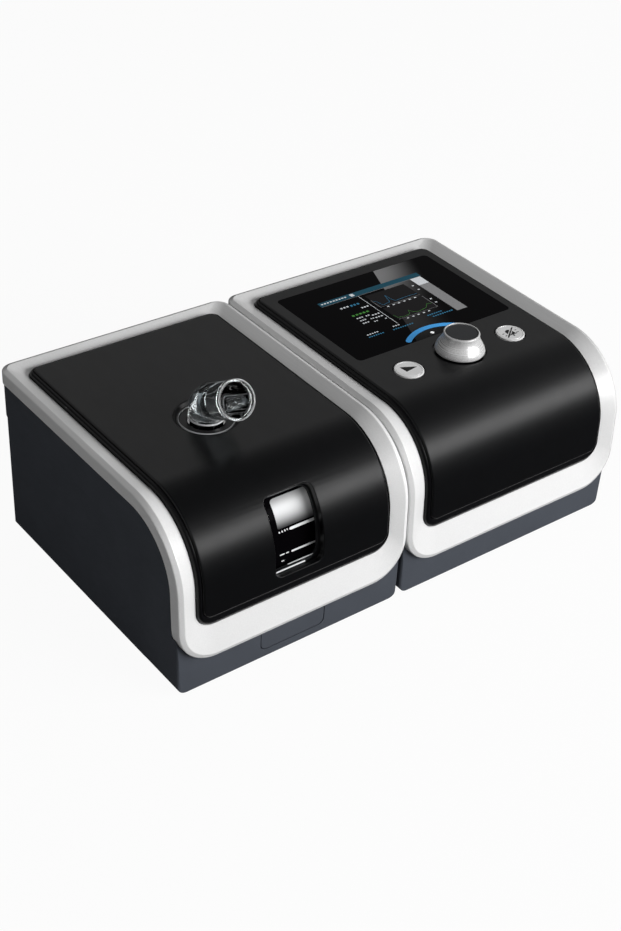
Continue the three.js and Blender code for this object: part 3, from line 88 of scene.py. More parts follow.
@dataclass
class Form:
    """A closed form in the making, in millimetres."""

    mesh: bmesh.types.BMesh = field(default_factory=bmesh.new)

    def outline(
        self, a: Pair, b: Pair, radii: Corners = SHARP_CORNERS, level: float = 0.0, steps: int = 8
    ) -> bmesh.types.BMFace:
        """Adds a flat rectangle with rounded corners.

        Args:
            a: lowest and highest first coordinate.
            b: lowest and highest second coordinate.
            radii: corner radii, low-low, high-low, high-high and low-high.
            level: height at which the face lies.
            steps: edges in each rounded corner.

        Returns:
            The new face.
        """
        known = set(self.mesh.faces)
        verts = bmesh.ops.create_grid(self.mesh, x_segments=1, y_segments=1, size=0.5)["verts"]
        bmesh.ops.scale(self.mesh, vec=(a[1] - a[0], b[1] - b[0], 1), verts=verts)
        middle = ((a[0] + a[1]) / 2, (b[0] + b[1]) / 2, level)
        bmesh.ops.translate(self.mesh, vec=middle, verts=verts)
        low_low, high_low, low_high, high_high = sorted(verts, key=lambda v: (v.co.y, v.co.x))
        for corner, radius in zip((low_low, high_low, high_high, low_high), radii):
            if radius > 0:
                bmesh.ops.bevel(
                    self.mesh, geom=[corner], offset=radius, offset_type="OFFSET", segments=steps,
                    profile=0.5, affect="VERTICES", clamp_overlap=False, material=-1,
                )
        return next(face for face in self.mesh.faces if face not in known)

    def push(self, face: bmesh.types.BMFace, way: Triple) -> "Form":
        """Pushes a flat face into a solid along way."""
        made = bmesh.ops.extrude_face_region(self.mesh, geom=[face])["geom"]
        moved = [item for item in made if isinstance(item, bmesh.types.BMVert)]
        bmesh.ops.translate(self.mesh, vec=way, verts=moved)
        return self.settle()

    def settle(self) -> "Form":
        """Turns all faces outwards."""
        bmesh.ops.recalc_face_normals(self.mesh, faces=self.mesh.faces)
        return self

    def move(self, way: Sequence[float]) -> "Form":
        """Moves the whole form."""
        bmesh.ops.translate(self.mesh, vec=way, verts=self.mesh.verts)
        return self

    def turn(self, angle: float, axis: str = "Z", centre: Triple = (0, 0, 0)) -> "Form":
        """Turns the whole form about an axis through centre."""
        bmesh.ops.rotate(
            self.mesh, cent=centre, matrix=Matrix.Rotation(angle, 3, axis), verts=self.mesh.verts
        )
        return self

    def lay(self, axis: Axis) -> "Form":
        """Lays a form that was drawn along Z along another axis."""
        matrix = Matrix(axis.value).to_4x4()
        bmesh.ops.transform(self.mesh, matrix=matrix, verts=self.mesh.verts)
        return self

    @classmethod
    def prism(
        cls, a: Pair, b: Pair, along: Pair, axis: Axis = Axis.Z,
        radii: Corners = SHARP_CORNERS, steps: int = 8,
    ) -> "Form":
        """A rounded rectangle pushed along an axis.

        Args:
            a: range across, which is y for X, z for Y and x for Z.
            b: the other range across, which is z for X, x for Y and y for Z.
            along: range along the axis.
            axis: the axis of the prism.
            radii: corner radii, low-low, high-low, high-high and low-high.
            steps: edges in each rounded corner.

        Returns:
            The solid.
        """
        form = cls()
        face = form.outline(a, b, radii, along[0], steps)
        return form.push(face, (0, 0, along[1] - along[0])).lay(axis).settle()

    @classmethod
    def turned(
        cls, profile: Sequence[Pair], centre: Triple = (0, 0, 0), axis: Axis = Axis.Z, steps: int = 64
    ) -> "Form":
        """A solid of revolution.

        Args:
            profile: radius and height of each point, closed or from axis to axis.
            centre: the point on the axis at height 0.
            axis: the axis of the solid.
            steps: faces round the axis.

        Returns:
            The solid.
        """
        form = cls()
        closed = profile[0] == profile[-1]
        points = profile[:-1] if closed else profile
        verts = [form.mesh.verts.new((radius, 0, height)) for radius, height in points]
        pairs = list(zip(verts, verts[1:])) + ([(verts[-1], verts[0])] if closed else [])
        edges = [form.mesh.edges.new(pair) for pair in pairs]
        bmesh.ops.spin(
            form.mesh, geom=verts + edges, cent=(0, 0, 0), axis=(0, 0, 1), dvec=(0, 0, 0),
            angle=math.tau, steps=steps, use_merge=True, use_duplicate=False,
        )
        bmesh.ops.remove_doubles(form.mesh, verts=form.mesh.verts, dist=0.0001)
        return form.lay(axis).move(centre).settle()

    @classmethod
    def rod(
        cls, radius: float, along: Pair, centre: Triple = (0, 0, 0), axis: Axis = Axis.Z,
        steps: int = 64,
    ) -> "Form":
        """A plain round rod, as a tool or a pin."""
        profile = [(0, along[0]), (radius, along[0]), (radius, along[1]), (0, along[1])]
        return cls.turned(profile, centre, axis, steps)

    @classmethod
    def copied(cls, node: str) -> "Form":
        """The shape of a CAD node, merged and in millimetres."""
        form = cls()
        form.mesh.from_mesh(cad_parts[node].data)
        bmesh.ops.scale(form.mesh, vec=(1 / METRE,) * 3, verts=form.mesh.verts)
        bmesh.ops.remove_doubles(form.mesh, verts=form.mesh.verts, dist=0.001)
        return form.settle()

    @classmethod
    def lofted(cls, loops: Sequence[tuple["Border", float]], ring: bool, steps: int = 10) -> "Form":
        """A flat form between borders that lie one above or inside another.

        Args:
            loops: each border with its drop below the crest surface.
            ring: whether the last loop joins the first, or both ends are closed by a face.
            steps: edges in each rounded corner.

        Returns:
            The form, flat, with its run along -Y and its drop along -Z.
        """
        form = cls()
        faces = [form.outline(*border.ranges(), border.radii(), -drop, steps) for border, drop in loops]
        rims = [list(face.edges) for face in faces]
        loose = faces if ring else faces[1:-1]
        if loose:
            bmesh.ops.delete(form.mesh, geom=loose, context="FACES_ONLY")
        following = rims[1:] + rims[:1] if ring else rims[1:]
        for first, second in zip(rims, following):
            bmesh.ops.bridge_loops(form.mesh, edges=first + second)
        return form.settle()

    def combine(self, mode: Union3, tools: Iterable["Form"]) -> "Form":
        """Combines the form with other solids, which are used up.

        Args:
            mode: what is kept.
            tools: the other solids.

        Returns:
            The form itself.
        """
        base = self._as_object()
        helpers = [tool._as_object() for tool in tools]
        for helper in helpers:
            step = base.modifiers.new("step", "BOOLEAN")
            step.operation, step.solver, step.object = mode.value, "EXACT", helper
        graph = bpy.context.evaluated_depsgraph_get()
        result = bpy.data.meshes.new_from_object(base.evaluated_get(graph))
        self.mesh.clear()
        self.mesh.from_mesh(result)
        for thing in [base, *helpers]:
            used = thing.data
            bpy.data.objects.remove(thing)
            bpy.data.meshes.remove(used)
        bpy.data.meshes.remove(result)
        return self

    def cut(self, *tools: "Form") -> "Form":
        """Takes the tools out of the form."""
        return self.combine(Union3.CUT, tools)

    def add(self, *tools: "Form") -> "Form":
        """Joins the tools to the form."""
        return self.combine(Union3.ADD, tools)

    def gather(self, *others: "Form") -> "Form":
        """Takes up other forms as separate shells of the same piece."""
        for other in others:
            plain = bpy.data.meshes.new("shell")
            other.mesh.to_mesh(plain)
            self.mesh.from_mesh(plain)
            bpy.data.meshes.remove(plain)
        return self

    def _as_object(self) -> bpy.types.Object:
        """The form as a helper object in the scene."""
        plain = bpy.data.meshes.new("helper")
        self.mesh.to_mesh(plain)
        helper = bpy.data.objects.new("helper", plain)
        bpy.context.scene.collection.objects.link(helper)
        return helper

    def round_edges(self, width: float, steps: int, keep: Optional[Callable[[bmesh.types.BMEdge], bool]] = None) -> "Form":
        """Rounds sharp edges.

        Args:
            width: size of the rounding.
            steps: faces across it.
            keep: test that an edge has to pass, besides being sharp.

        Returns:
            The form itself.
        """
        self.mesh.normal_update()
        sharp = [
            edge for edge in self.mesh.edges
            if len(edge.link_faces) == 2 and edge.calc_face_angle() > math.radians(50)
            and (keep is None or keep(edge))
        ]
        bmesh.ops.bevel(
            self.mesh, geom=sharp, offset=width, offset_type="OFFSET", segments=steps, profile=0.5,
            affect="EDGES", clamp_overlap=True, material=-1,
        )
        return self

    def piece(
        self, name: str, body: str, slot: str, material: bpy.types.Material, place: "Module",
        replaces: Sequence[str] = (), sharp: float = 32.0, bevel: float = 0.0,
    ) -> bpy.types.Object:
        """Ends the form as a piece of the scene.

        Args:
            name: name of the piece.
            body: CAD body that it moves with.
            slot: material slot of the record; not used.
            material: its finish.
            place: module whose place it has.
            replaces: CAD nodes that it stands for.
            sharp: angle in degrees from which an edge stays sharp.
            bevel: width in millimetres of a fine rounding of its edges, or 0.

        Returns:
            The object.
        """
        bmesh.ops.translate(self.mesh, vec=(place.centre, place.back, 0), verts=self.mesh.verts)
        bmesh.ops.scale(self.mesh, vec=(METRE, METRE, METRE), verts=self.mesh.verts)
        shell = bpy.data.meshes.new(name)
        self.mesh.to_mesh(shell)
        self.mesh.free()
        shell.shade_smooth()
        shell.set_sharp_from_angle(angle=math.radians(sharp))
        shell.materials.append(material)
        thing = bpy.data.objects.new(name, shell)
        bpy.context.scene.collection.objects.link(thing)
        if bevel > 0:
            edge = thing.modifiers.new("edges", "BEVEL")
            edge.width, edge.segments, edge.profile = bevel * METRE, 2, 0.5
            edge.limit_method, edge.angle_limit = "ANGLE", math.radians(sharp)
            edge.use_clamp_overlap = True
        even = thing.modifiers.new("even_shading", "WEIGHTED_NORMAL")
        even.keep_sharp = True
        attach(thing, body)
        if replaces:
            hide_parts(*replaces)
        return thing


@dataclass(frozen=True)
class Border:
    """A rounded rectangle on the skin: its half width, its runs and its corner radii."""

    half: float
    back: float
    front: float
    back_corner: float
    front_corner: float
    shift: float = 0.0

    def ranges(self) -> tuple[Pair, Pair]:
        """Ranges along x and y in the flat."""
        return (self.shift - self.half, self.shift + self.half), (-self.front, -self.back)

    def radii(self) -> Corners:
        """Corner radii in the order of an outline."""
        return (self.front_corner, self.front_corner, self.back_corner, self.back_corner)


@dataclass(frozen=True)
class Skin:
    """The bent surface of both modules: flat top, round front and a face that leans out."""

    crest: float = 109.9
    flat_run: float = 139.15
    radius: float = 45.1
    lip: float = 22.8
    lean: float = math.radians(3.2)
    pitch: float = 2.4

    @property
    def bend(self) -> float:
        """Angle of the bend."""
        return math.pi / 2 - self.lean

    @property
    def bend_end(self) -> float:
        """Run at which the straight face starts."""
        return self.flat_run + self.radius * self.bend

    @property
    def length(self) -> float:
        """Run at the lower edge of the face."""
        fall = self.crest - self.radius * (1 - math.cos(self.bend)) - self.lip
        return self.bend_end + fall / math.cos(self.lean)

    def point(self, x: float, run: float, drop: float) -> Vector:
        """The point at a run from the back edge and a drop below the surface."""
        if run <= self.flat_run:
            return Vector((x, -run, self.crest - drop))
        angle = min((run - self.flat_run) / self.radius, self.bend)
        reach = self.radius - drop
        past = max(run - self.bend_end, 0)
        return Vector((
            x,
            -self.flat_run - reach * math.sin(angle) - past * math.cos(angle),
            self.crest - self.radius + reach * math.cos(angle) - past * math.sin(angle),
        ))

    def wrap(self, form: Form) -> Form:
        """Cuts a flat form across at even steps of the bend and lays it on the skin.

        Args:
            form: the form in the flat.

        Returns:
            The same form, bent.
        """
        count = round((self.bend_end - self.flat_run) / self.pitch)
        for step in range(count + 1):
            run = self.flat_run + (self.bend_end - self.flat_run) * step / count
            everything = [*form.mesh.verts, *form.mesh.edges, *form.mesh.faces]
            bmesh.ops.bisect_plane(
                form.mesh, geom=everything, dist=0.0001, plane_co=(0, -run, 0), plane_no=(0, 1, 0)
            )
        for vert in form.mesh.verts:
            vert.co = self.point(vert.co.x, -vert.co.y, -vert.co.z)
        return form.settle()


SKIN = Skin()


@dataclass(frozen=True)
class Module:
    """One of the two housings, with its place, and the borders of its frame."""

    centre: float
    back: float
    width: float
    rim: float
    side: int
    shelf: float
    back_rim: float = 9.95
    front_rim: float = 19.5
    back_radius: float = 8.5
    lip_radius: float = 23.0
    opening_back_radius: float = 7.0
    opening_front_radius: float = 11.0
    shoulder: float = 2.3
    front_shoulder: float = 6.9

    @classmethod
    def around(cls, node: str, rim: float, side: int, shelf: float) -> "Module":
        """The module whose outer size is that of a CAD node."""
        low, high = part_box(node)
        return cls((low.x + high.x) / 2 / METRE, high.y / METRE, (high.x - low.x) / METRE, rim, side, shelf)

    def outer(self, inset: float) -> Border:
        """Border set in from the outer edge."""
        return Border(
            self.width / 2 - inset, inset, SKIN.length - inset,
            self.back_radius - inset, self.lip_radius - inset,
        )

    def opening(self, inset: float) -> Border:
        """Border set in from the opening of the frame, further where the shoulder widens."""
        across = min(max((inset - FIT) / self.shoulder, 0), 1)
        extra = across * (self.front_shoulder - self.shoulder)
        return Border(
            self.width / 2 - self.rim - inset, self.back_rim + inset,
            SKIN.length - self.front_rim - inset - extra,
            self.opening_back_radius - inset, self.opening_front_radius - inset - extra / 2,
        )

    def between(self, share: float) -> Border:
        """Border between the outer edge, at 0, and the opening, at 1."""
        first, last = self.outer(0), self.opening(0)
        mix = [
            start + (end - start) * share
            for start, end in zip(
                (first.half, first.back, first.front, first.back_corner, first.front_corner),
                (last.half, last.back, last.front, last.back_corner, last.front_corner),
            )
        ]
        return Border(*mix)


def arc_points(radius: float, steps: int) -> list[Pair]:
    """Inset and drop of points round a quarter, from the side face to the top."""
    return [
        (radius * (1 - math.cos(math.pi / 2 * i / steps)), radius * (1 - math.sin(math.pi / 2 * i / steps)))
        for i in range(steps + 1)
    ]


def smooth_share(low: float, high: float, value: float) -> float:
    """Smooth step from 0 at low to 1 at high."""
    share = min(max((value - low) / (high - low), 0), 1)
    return share * share * (3 - 2 * share)


# Shader tools

Number = Union[float, "Value"]


class Value:
    """A number that varies over a surface. Arithmetic on it adds Math nodes."""

    def __init__(self, shade: "Shade", socket: bpy.types.NodeSocket) -> None:
        """Wraps an output socket of a node in shade."""
        self.shade = shade
        self.socket = socket

    def math(self, operation: str, *others: Number, first: bool = True) -> "Value":
        """Adds a Math node.

        Args:
            operation: name of the operation.
            others: the other operands.
            first: whether this value is the first operand.

        Returns:
            The result.
        """
        operands = [self, *others] if first else [*others, self]
        node = self.shade.node(
            "ShaderNodeMath", {"operation": operation}, dict(enumerate(operands))
        )
        return Value(self.shade, node.outputs[0])

    def __add__(self, other: Number) -> "Value":
        """Sum."""
        return self.math("ADD", other)

    __radd__ = __add__

    def __sub__(self, other: Number) -> "Value":
        """Difference."""
        return self.math("SUBTRACT", other)

    def __rsub__(self, other: Number) -> "Value":
        """Difference from a number."""
        return self.math("SUBTRACT", other, first=False)

    def __mul__(self, other: Number) -> "Value":
        """Product."""
        return self.math("MULTIPLY", other)

    __rmul__ = __mul__

    def __truediv__(self, other: Number) -> "Value":
        """Quotient."""
        return self.math("DIVIDE", other)

    def __pow__(self, other: Number) -> "Value":
        """Power."""
        return self.math("POWER", other)

    def __gt__(self, other: Number) -> "Value":
        """1 where it is greater."""
        return self.math("GREATER_THAN", other)

    def __lt__(self, other: Number) -> "Value":
        """1 where it is less."""
        return self.math("LESS_THAN", other)

    def __abs__(self) -> "Value":
        """Size without sign."""
        return self.math("ABSOLUTE")

    def sine(self) -> "Value":
        """Sine."""
        return self.math("SINE")

    def wrap(self, pitch: float) -> "Value":
        """Saw tooth from 0 to 1 over each pitch."""
        return (self / pitch).math("FRACT")

    def smooth(self, low: float, high: float) -> "Value":
        """Smooth step from 0 at low to 1 at high."""
        node = self.shade.node(
            "ShaderNodeMapRange", {"interpolation_type": "SMOOTHSTEP"},
            {"Value": self, "From Min": low, "From Max": high},
        )
        return Value(self.shade, node.outputs[0])

    def most(self, other: Number) -> "Value":
        """The greater of two."""
        return self.math("MAXIMUM", other)


class Shade:
    """The node tree of one material."""

    def __init__(self, name: str) -> None:
        """Starts an empty material."""
        self.material = bpy.data.materials.new(name)
        self.material.use_nodes = True
        self.tree = self.material.node_tree
        self.tree.nodes.clear()
        self.output = self.node("ShaderNodeOutputMaterial")

    def node(
        self, kind: str, settings: Optional[dict] = None, inputs: Optional[dict] = None
    ) -> bpy.types.Node:
        """Adds a node.

        Args:
            kind: type of the node.
            settings: its properties, with "stops" for a ramp's positions and colours.
            inputs: values, Values or sockets by input name or number.

        Returns:
            The node.
        """
        node = self.tree.nodes.new(kind)
        for key, value in (settings or {}).items():
            if key == "stops":
                ramp = node.color_ramp
                while len(ramp.elements) < len(value):
                    ramp.elements.new(0.5)
                for element, (position, color) in zip(ramp.elements, value):
                    element.position, element.color = position, (*color, 1.0)
            else:
                setattr(node, key, value)
        for key, value in (inputs or {}).items():
            target = node.inputs[key]
            if isinstance(value, Value):
                self.tree.links.new(value.socket, target)
            elif isinstance(value, bpy.types.NodeSocket):
                self.tree.links.new(value, target)
            else:
                target.default_value = value
        return node

    def place(self, scale: Triple = (1, 1, 1), shift: Triple = (0, 0, 0)) -> bpy.types.NodeSocket:
        """Object coordinates through a Mapping node."""
        where = self.node("ShaderNodeTexCoord").outputs["Object"]
        mapping = self.node("ShaderNodeMapping", {}, {"Vector": where, "Scale": scale, "Location": shift})
        return mapping.outputs[0]

    def split(self, vector: bpy.types.NodeSocket) -> tuple[Value, Value, Value]:
        """The three coordinates of a vector."""
        node = self.node("ShaderNodeSeparateXYZ", {}, {0: vector})
        return tuple(Value(self, node.outputs[i]) for i in range(3))

    def noise(
        self, scale: float, stretch: Triple = (1, 1, 1), detail: float = 3.0, rough: float = 0.55
    ) -> Value:
        """Soft noise from 0 to 1 on Object coordinates, scale being cells a metre."""
        node = self.node(
            "ShaderNodeTexNoise", {},
            {"Vector": self.place(stretch), "Scale": scale, "Detail": detail, "Roughness": rough},
        )
        return Value(self, node.outputs[0])

    def cells(self, scale: float, feature: str = "F1", spread: float = 1.0) -> Value:
        """Distance in a cell pattern on Object coordinates."""
        node = self.node(
            "ShaderNodeTexVoronoi", {"feature": feature},
            {"Vector": self.place(), "Scale": scale, "Randomness": spread},
        )
        return Value(self, node.outputs["Distance"])

    def blend(
        self, share: Number, low: Union[Triple, bpy.types.NodeSocket],
        high: Union[Triple, bpy.types.NodeSocket],
    ) -> bpy.types.NodeSocket:
        """Mixes two colours by a share."""
        colors = [(*c, 1.0) if isinstance(c, tuple) else c for c in (low, high)]
        node = self.node(
            "ShaderNodeMix", {"data_type": "RGBA"}, {0: share, 6: colors[0], 7: colors[1]}
        )
        return node.outputs[2]

    def bump(self, height: Value, depth: float, strength: float = 1.0) -> bpy.types.NodeSocket:
        """Normal from a height, whose full size is depth in metres."""
        node = self.node(
            "ShaderNodeBump", {}, {"Height": height, "Distance": depth, "Strength": strength}
        )
        return node.outputs[0]

    def surface(self, inputs: dict) -> bpy.types.Material:
        """Ends the material with a Principled shader."""
        shader = self.node("ShaderNodeBsdfPrincipled", {}, inputs)
        self.tree.links.new(shader.outputs[0], self.output.inputs["Surface"])
        return self.material


def shade(color: Triple, factor: float) -> Triple:
    """A colour made lighter or darker."""
    return tuple(min(part * factor, 1.0) for part in color)


@dataclass(frozen=True)
class Moulded:
    """Moulded plastic or rubber with a fine texture and a little unevenness of tone."""

    name: str
    color: Triple
    roughness: float = 0.5
    grain: float = 0.00002
    grain_scale: float = 2600.0
    mottle: float = 0.12
    mottle_scale: float = 45.0
    metallic: float = 0.0
    ior: float = 1.45
    coat: float = 0.0
    specular: float = 0.5
    stretch: Triple = (1, 1, 1)

    def material(self) -> bpy.types.Material:
        """Builds the material."""
        s = Shade(self.name)
        tone = s.noise(self.mottle_scale, (1, 1, 1), 4.0)
        fine = s.noise(self.grain_scale, self.stretch, 2.0)
        wipe = s.noise(self.mottle_scale * 4, (1, 0.3, 1), 3.0)
        return s.surface({
            "Base Color": s.blend(
                tone, shade(self.color, 1 - self.mottle), shade(self.color, 1 + self.mottle)
            ),
            "Roughness": wipe * (0.22 * self.roughness) + 0.89 * self.roughness,
            "Metallic": self.metallic,
            "IOR": self.ior,
            "Specular IOR Level": self.specular,
            "Coat Weight": self.coat,
            "Coat Roughness": 0.06,
            "Normal": s.bump(fine, self.grain),
        })


@dataclass(frozen=True)
class Brushed:
    """Satin metal paint or metal with fine strokes along one axis."""

    name: str
    color: Triple
    roughness: float = 0.34
    metallic: float = 0.85
    stroke: Triple = (1.0, 0.03, 1.0)
    stroke_scale: float = 1500.0
    depth: float = 0.000012
    spread: float = 0.07
    coat: float = 0.0

    def material(self) -> bpy.types.Material:
        """Builds the material."""
        s = Shade(self.name)
        strokes = s.noise(self.stroke_scale, self.stroke, 3.0, 0.6)
        flakes = s.noise(9000.0, (1, 1, 1), 1.0)
        wide = s.noise(20.0, (1, 0.5, 1), 2.0)
        tone = strokes * 0.6 + flakes * 0.25 + wide * 0.15
        return s.surface({
            "Base Color": s.blend(
                tone, shade(self.color, 1 - self.spread * 2), shade(self.color, 1 + self.spread * 2)
            ),
            "Roughness": strokes * 0.12 + (self.roughness - 0.06),
            "Metallic": self.metallic,
            "Coat Weight": self.coat,
            "Coat Roughness": 0.22,
            "Normal": s.bump(strokes + flakes * 0.5, self.depth),
        })


@dataclass(frozen=True)
class Turned:
    """Metal that was turned, with strokes round one upright axis."""

    name: str
    color: Triple
    centre: Pair
    roughness: float = 0.36
    metallic: float = 0.85
    pitch: float = 0.00011

    def material(self) -> bpy.types.Material:
        """Builds the material."""
        s = Shade(self.name)
        x, y, z = s.split(s.place((1, 1, 1), (-self.centre[0], -self.centre[1], 0)))
        radius = (x * x + y * y).math("SQRT")
        rings = ((radius + z * 0.7) * (math.tau / self.pitch)).sine() * 0.5 + 0.5
        broken = s.noise(900.0, (1, 1, 1), 2.0)
        mark = rings * 0.5 + broken * 0.5
        return s.surface({
            "Base Color": s.blend(mark, shade(self.color, 0.97), shade(self.color, 1.03)),
            "Roughness": mark * 0.06 + (self.roughness - 0.03),
            "Metallic": self.metallic,
            "Normal": s.bump(mark, 0.000001),
        })


@dataclass(frozen=True)
class Clear:
    """Clear plastic with faint flow marks and fine dust."""

    name: str
    color: Triple = (0.93, 0.96, 0.97)
    roughness: float = 0.03
    ior: float = 1.45

    def material(self) -> bpy.types.Material:
        """Builds the material."""
        s = Shade(self.name)
        flow = s.noise(60.0, (1, 1, 0.4), 2.0)
        dust = s.noise(1800.0, (1, 1, 1), 2.0).smooth(0.68, 0.78)
        return s.surface({
            "Base Color": s.blend(flow, shade(self.color, 0.98), self.color),
            "Roughness": dust * 0.2 + self.roughness,
            "Transmission Weight": 1.0,
            "IOR": self.ior,
            "Normal": s.bump(flow, 0.00008),
        })


@dataclass(frozen=True)
class Lit:
    """A part of the display or lamp that glows, broken into fine picture points; it also makes the elbow's
    glowing painted rim highlights.
    """

    name: str
    color: Triple
    glow: float = 0.6
    points: float = 0.0
    gloss: float = 0.2

    def material(self) -> bpy.types.Material:
        """Builds the material."""
        s = Shade(self.name)
        uneven = s.noise(900.0, (1, 1, 1), 2.0)
        share = uneven * 0.3 + 0.6
        if self.points > 0:
            x, y, _ = s.split(s.place())
            grid = (x.wrap(self.points) > 0.14) * (y.wrap(self.points) > 0.14)
            share = share * (grid * 0.35 + 0.65)
        glowing = s.blend(share, shade(self.color, 0.45), self.color)
        return s.surface({
            "Base Color": glowing,
            "Emission Color": glowing,
            "Emission Strength": self.glow,
            "Roughness": self.gloss,
            "Specular IOR Level": 0.06,
        })


@dataclass(frozen=True)
class Glazed:
    """Black glass with a painted reflection: a soft grey patch in its base colour to the right of a slanting
    line.
    """

    name: str
    color: Triple = (0.0012, 0.001, 0.0014)
    painted_reflection: Triple = (0.23, 0.23, 0.233)
    corner: Pair = (0.0922, 0.0676)
    slant: float = 0.3958
    reach: float = 0.034

    def material(self) -> bpy.types.Material:
        """Builds the material."""
        s = Shade(self.name)
        # Painted reflection: the mask below lightens the base colour in a band right of the slanting line,
        # fading with distance from it and towards the front.
        x, y, _ = s.split(s.place((1, 1, 1), (-self.corner[0], -self.corner[1], 0)))
        beside = x - y * self.slant
        edge = beside.smooth(0.0, 0.0004)
        fade = 1 - beside.smooth(0.0, self.reach)
        depth = 1 - (y * -1).smooth(0.004, 0.05) * 0.85
        wave = s.noise(30.0, (1, 1, 1), 2.0) * 0.3 + 0.85
        return s.surface({
            "Base Color": s.blend(edge * fade * depth * wave, self.color, self.painted_reflection),
            "Roughness": s.noise(300.0, (1, 1, 1), 2.0) * 0.02 + 0.05,
            "IOR": 1.4,
            "Specular IOR Level": 0.02,
        })


@dataclass(frozen=True)
class PaintedReflectionBand:
    """A band of painted reflection, bright near its top and fading to black at its foot, that also glows a
    little though it is no lamp.
    """

    name: str
    bright: Triple = (0.5, 0.505, 0.51)
    dark: Triple = (0.004, 0.004, 0.005)
    low: float = 0.0765
    middle: float = 0.0868
    high: float = 0.0868

    def material(self) -> bpy.types.Material:
        """Builds the material."""
        s = Shade(self.name)
        _, _, z = s.split(s.place())
        grain = s.noise(1400.0, (1, 1, 1), 2.0)
        rise = z.smooth(self.low, self.middle)
        fall = z.smooth(self.high, self.high + 0.005) * 0.6
        share = rise * (1 - fall) * (grain * 0.06 + 0.97)
        # Painted reflection: the band's top is lightened in its colour, and its emission makes it glow
        # though it is no lamp.
        tone = s.blend(share, self.dark, self.bright)
        return s.surface({
            "Base Color": tone,
            "Emission Color": tone,
            "Emission Strength": 0.12,
            "Roughness": 0.3,
            "Normal": s.bump(grain, 0.00001),
        })


@dataclass(frozen=True)
class Foam:
    """Open foam of the air filter."""

    name: str = "filter_foam_open"
    color: Triple = (0.42, 0.44, 0.46)

    def material(self) -> bpy.types.Material:
        """Builds the material."""
        s = Shade(self.name)
        pores = s.cells(900.0)
        return s.surface({
            "Base Color": s.blend(pores.smooth(0.1, 0.6), shade(self.color, 1.3), shade(self.color, 0.3)),
            "Roughness": 0.95,
            "Normal": s.bump(pores, 0.0006),
        })


@dataclass(frozen=True)
class Circuit:
    """Green circuit board with its tracks and pads."""

    name: str = "board_mask"
    mask: Triple = (0.012, 0.11, 0.05)
    track: Triple = (0.03, 0.2, 0.09)
    pad: Triple = (0.62, 0.6, 0.52)

    def material(self) -> bpy.types.Material:
        """Builds the material."""
        s = Shade(self.name)
        brick = s.node(
            "ShaderNodeTexBrick", {"offset": 0.37},
            {"Vector": s.place(), "Scale": 220.0, "Mortar Size": 0.035, "Brick Width": 0.8,
             "Row Height": 0.22},
        )
        pads = s.cells(260.0, spread=0.25)
        dot = 1 - pads.smooth(0.09, 0.13)
        tracks = s.blend(Value(s, brick.outputs["Fac"]), self.mask, self.track)
        return s.surface({
            "Base Color": s.blend(dot, tracks, self.pad),
            "Roughness": 0.42 - dot * 0.15,
            "Metallic": dot * 0.8,
            "Normal": s.bump(Value(s, brick.outputs["Fac"]) + dot, 0.00004),
        })


@dataclass(frozen=True)
class Palette:
    """Every finish of the machine."""

    silver: Brushed = Brushed("silver_paint", (0.74, 0.74, 0.74), 0.34, 0.3, coat=0.6)
    slate: Moulded = Moulded("slate_plastic", (0.043, 0.048, 0.058), 0.6, 0.00003, 3200.0, specular=0.25)
    panel: Moulded = Moulded(
        "satin_black", (0.0018, 0.0019, 0.0023), 0.31, 0.000012, 4200.0, ior=1.45
    )
    trim: Moulded = Moulded(
        "gloss_black_trim", (0.003, 0.003, 0.0035), 0.2, 0.000004, 900.0, ior=1.4, specular=0.3
    )
    shadow: Moulded = Moulded("dark_moulding", (0.018, 0.019, 0.021), 0.62, 0.00004, 1800.0)
    rubber: Moulded = Moulded("grip_rubber", (0.012, 0.012, 0.013), 0.85, 0.00005, 1400.0)
    steel: Brushed = Brushed("bright_steel", (0.58, 0.58, 0.58), 0.25, 1.0, (0.05, 1, 1))
    button: Brushed = Brushed("button_silver", (0.8, 0.8, 0.8), 0.3, 0.3, (1, 0.04, 1), 2600.0)
    # The screen's glass, whose base colour carries a painted reflection; the tank's black sheet of painted
    # shade uses it too.
    glass: Glazed = Glazed("screen_gloss_painted_reflection")
    liquid_display: Moulded = Moulded(
        "display_glass", (0.0015, 0.0016, 0.002), 0.12, 0.000001, 300.0, specular=0.02
    )
    clear: Clear = Clear("clear_plastic")
    white_plastic: Moulded = Moulded("impeller_plastic", (0.7, 0.7, 0.69), 0.4, 0.00002, 1500.0)
    card: Moulded = Moulded("card_plastic", (0.012, 0.025, 0.1), 0.45, 0.00002, 2400.0)
    foam: Foam = Foam()
    board: Circuit = Circuit()


class Finishes:
    """Materials by name, each built once."""

    def __init__(self, palette: Palette) -> None:
        """Keeps the palette."""
        self.palette = palette
        self.made: dict[str, bpy.types.Material] = {}

    def of(self, name: str) -> bpy.types.Material:
        """The material of a finish of the palette."""
        if name not in self.made:
            self.made[name] = getattr(self.palette, name).material()
        return self.made[name]

    def extra(self, finish: Union[Lit, Turned, Moulded, "PaintedReflectionBand"]) -> bpy.types.Material:
        """The material of a finish that a piece holds itself."""
        if finish.name not in self.made:
            self.made[finish.name] = finish.material()
        return self.made[finish.name]


# The machine


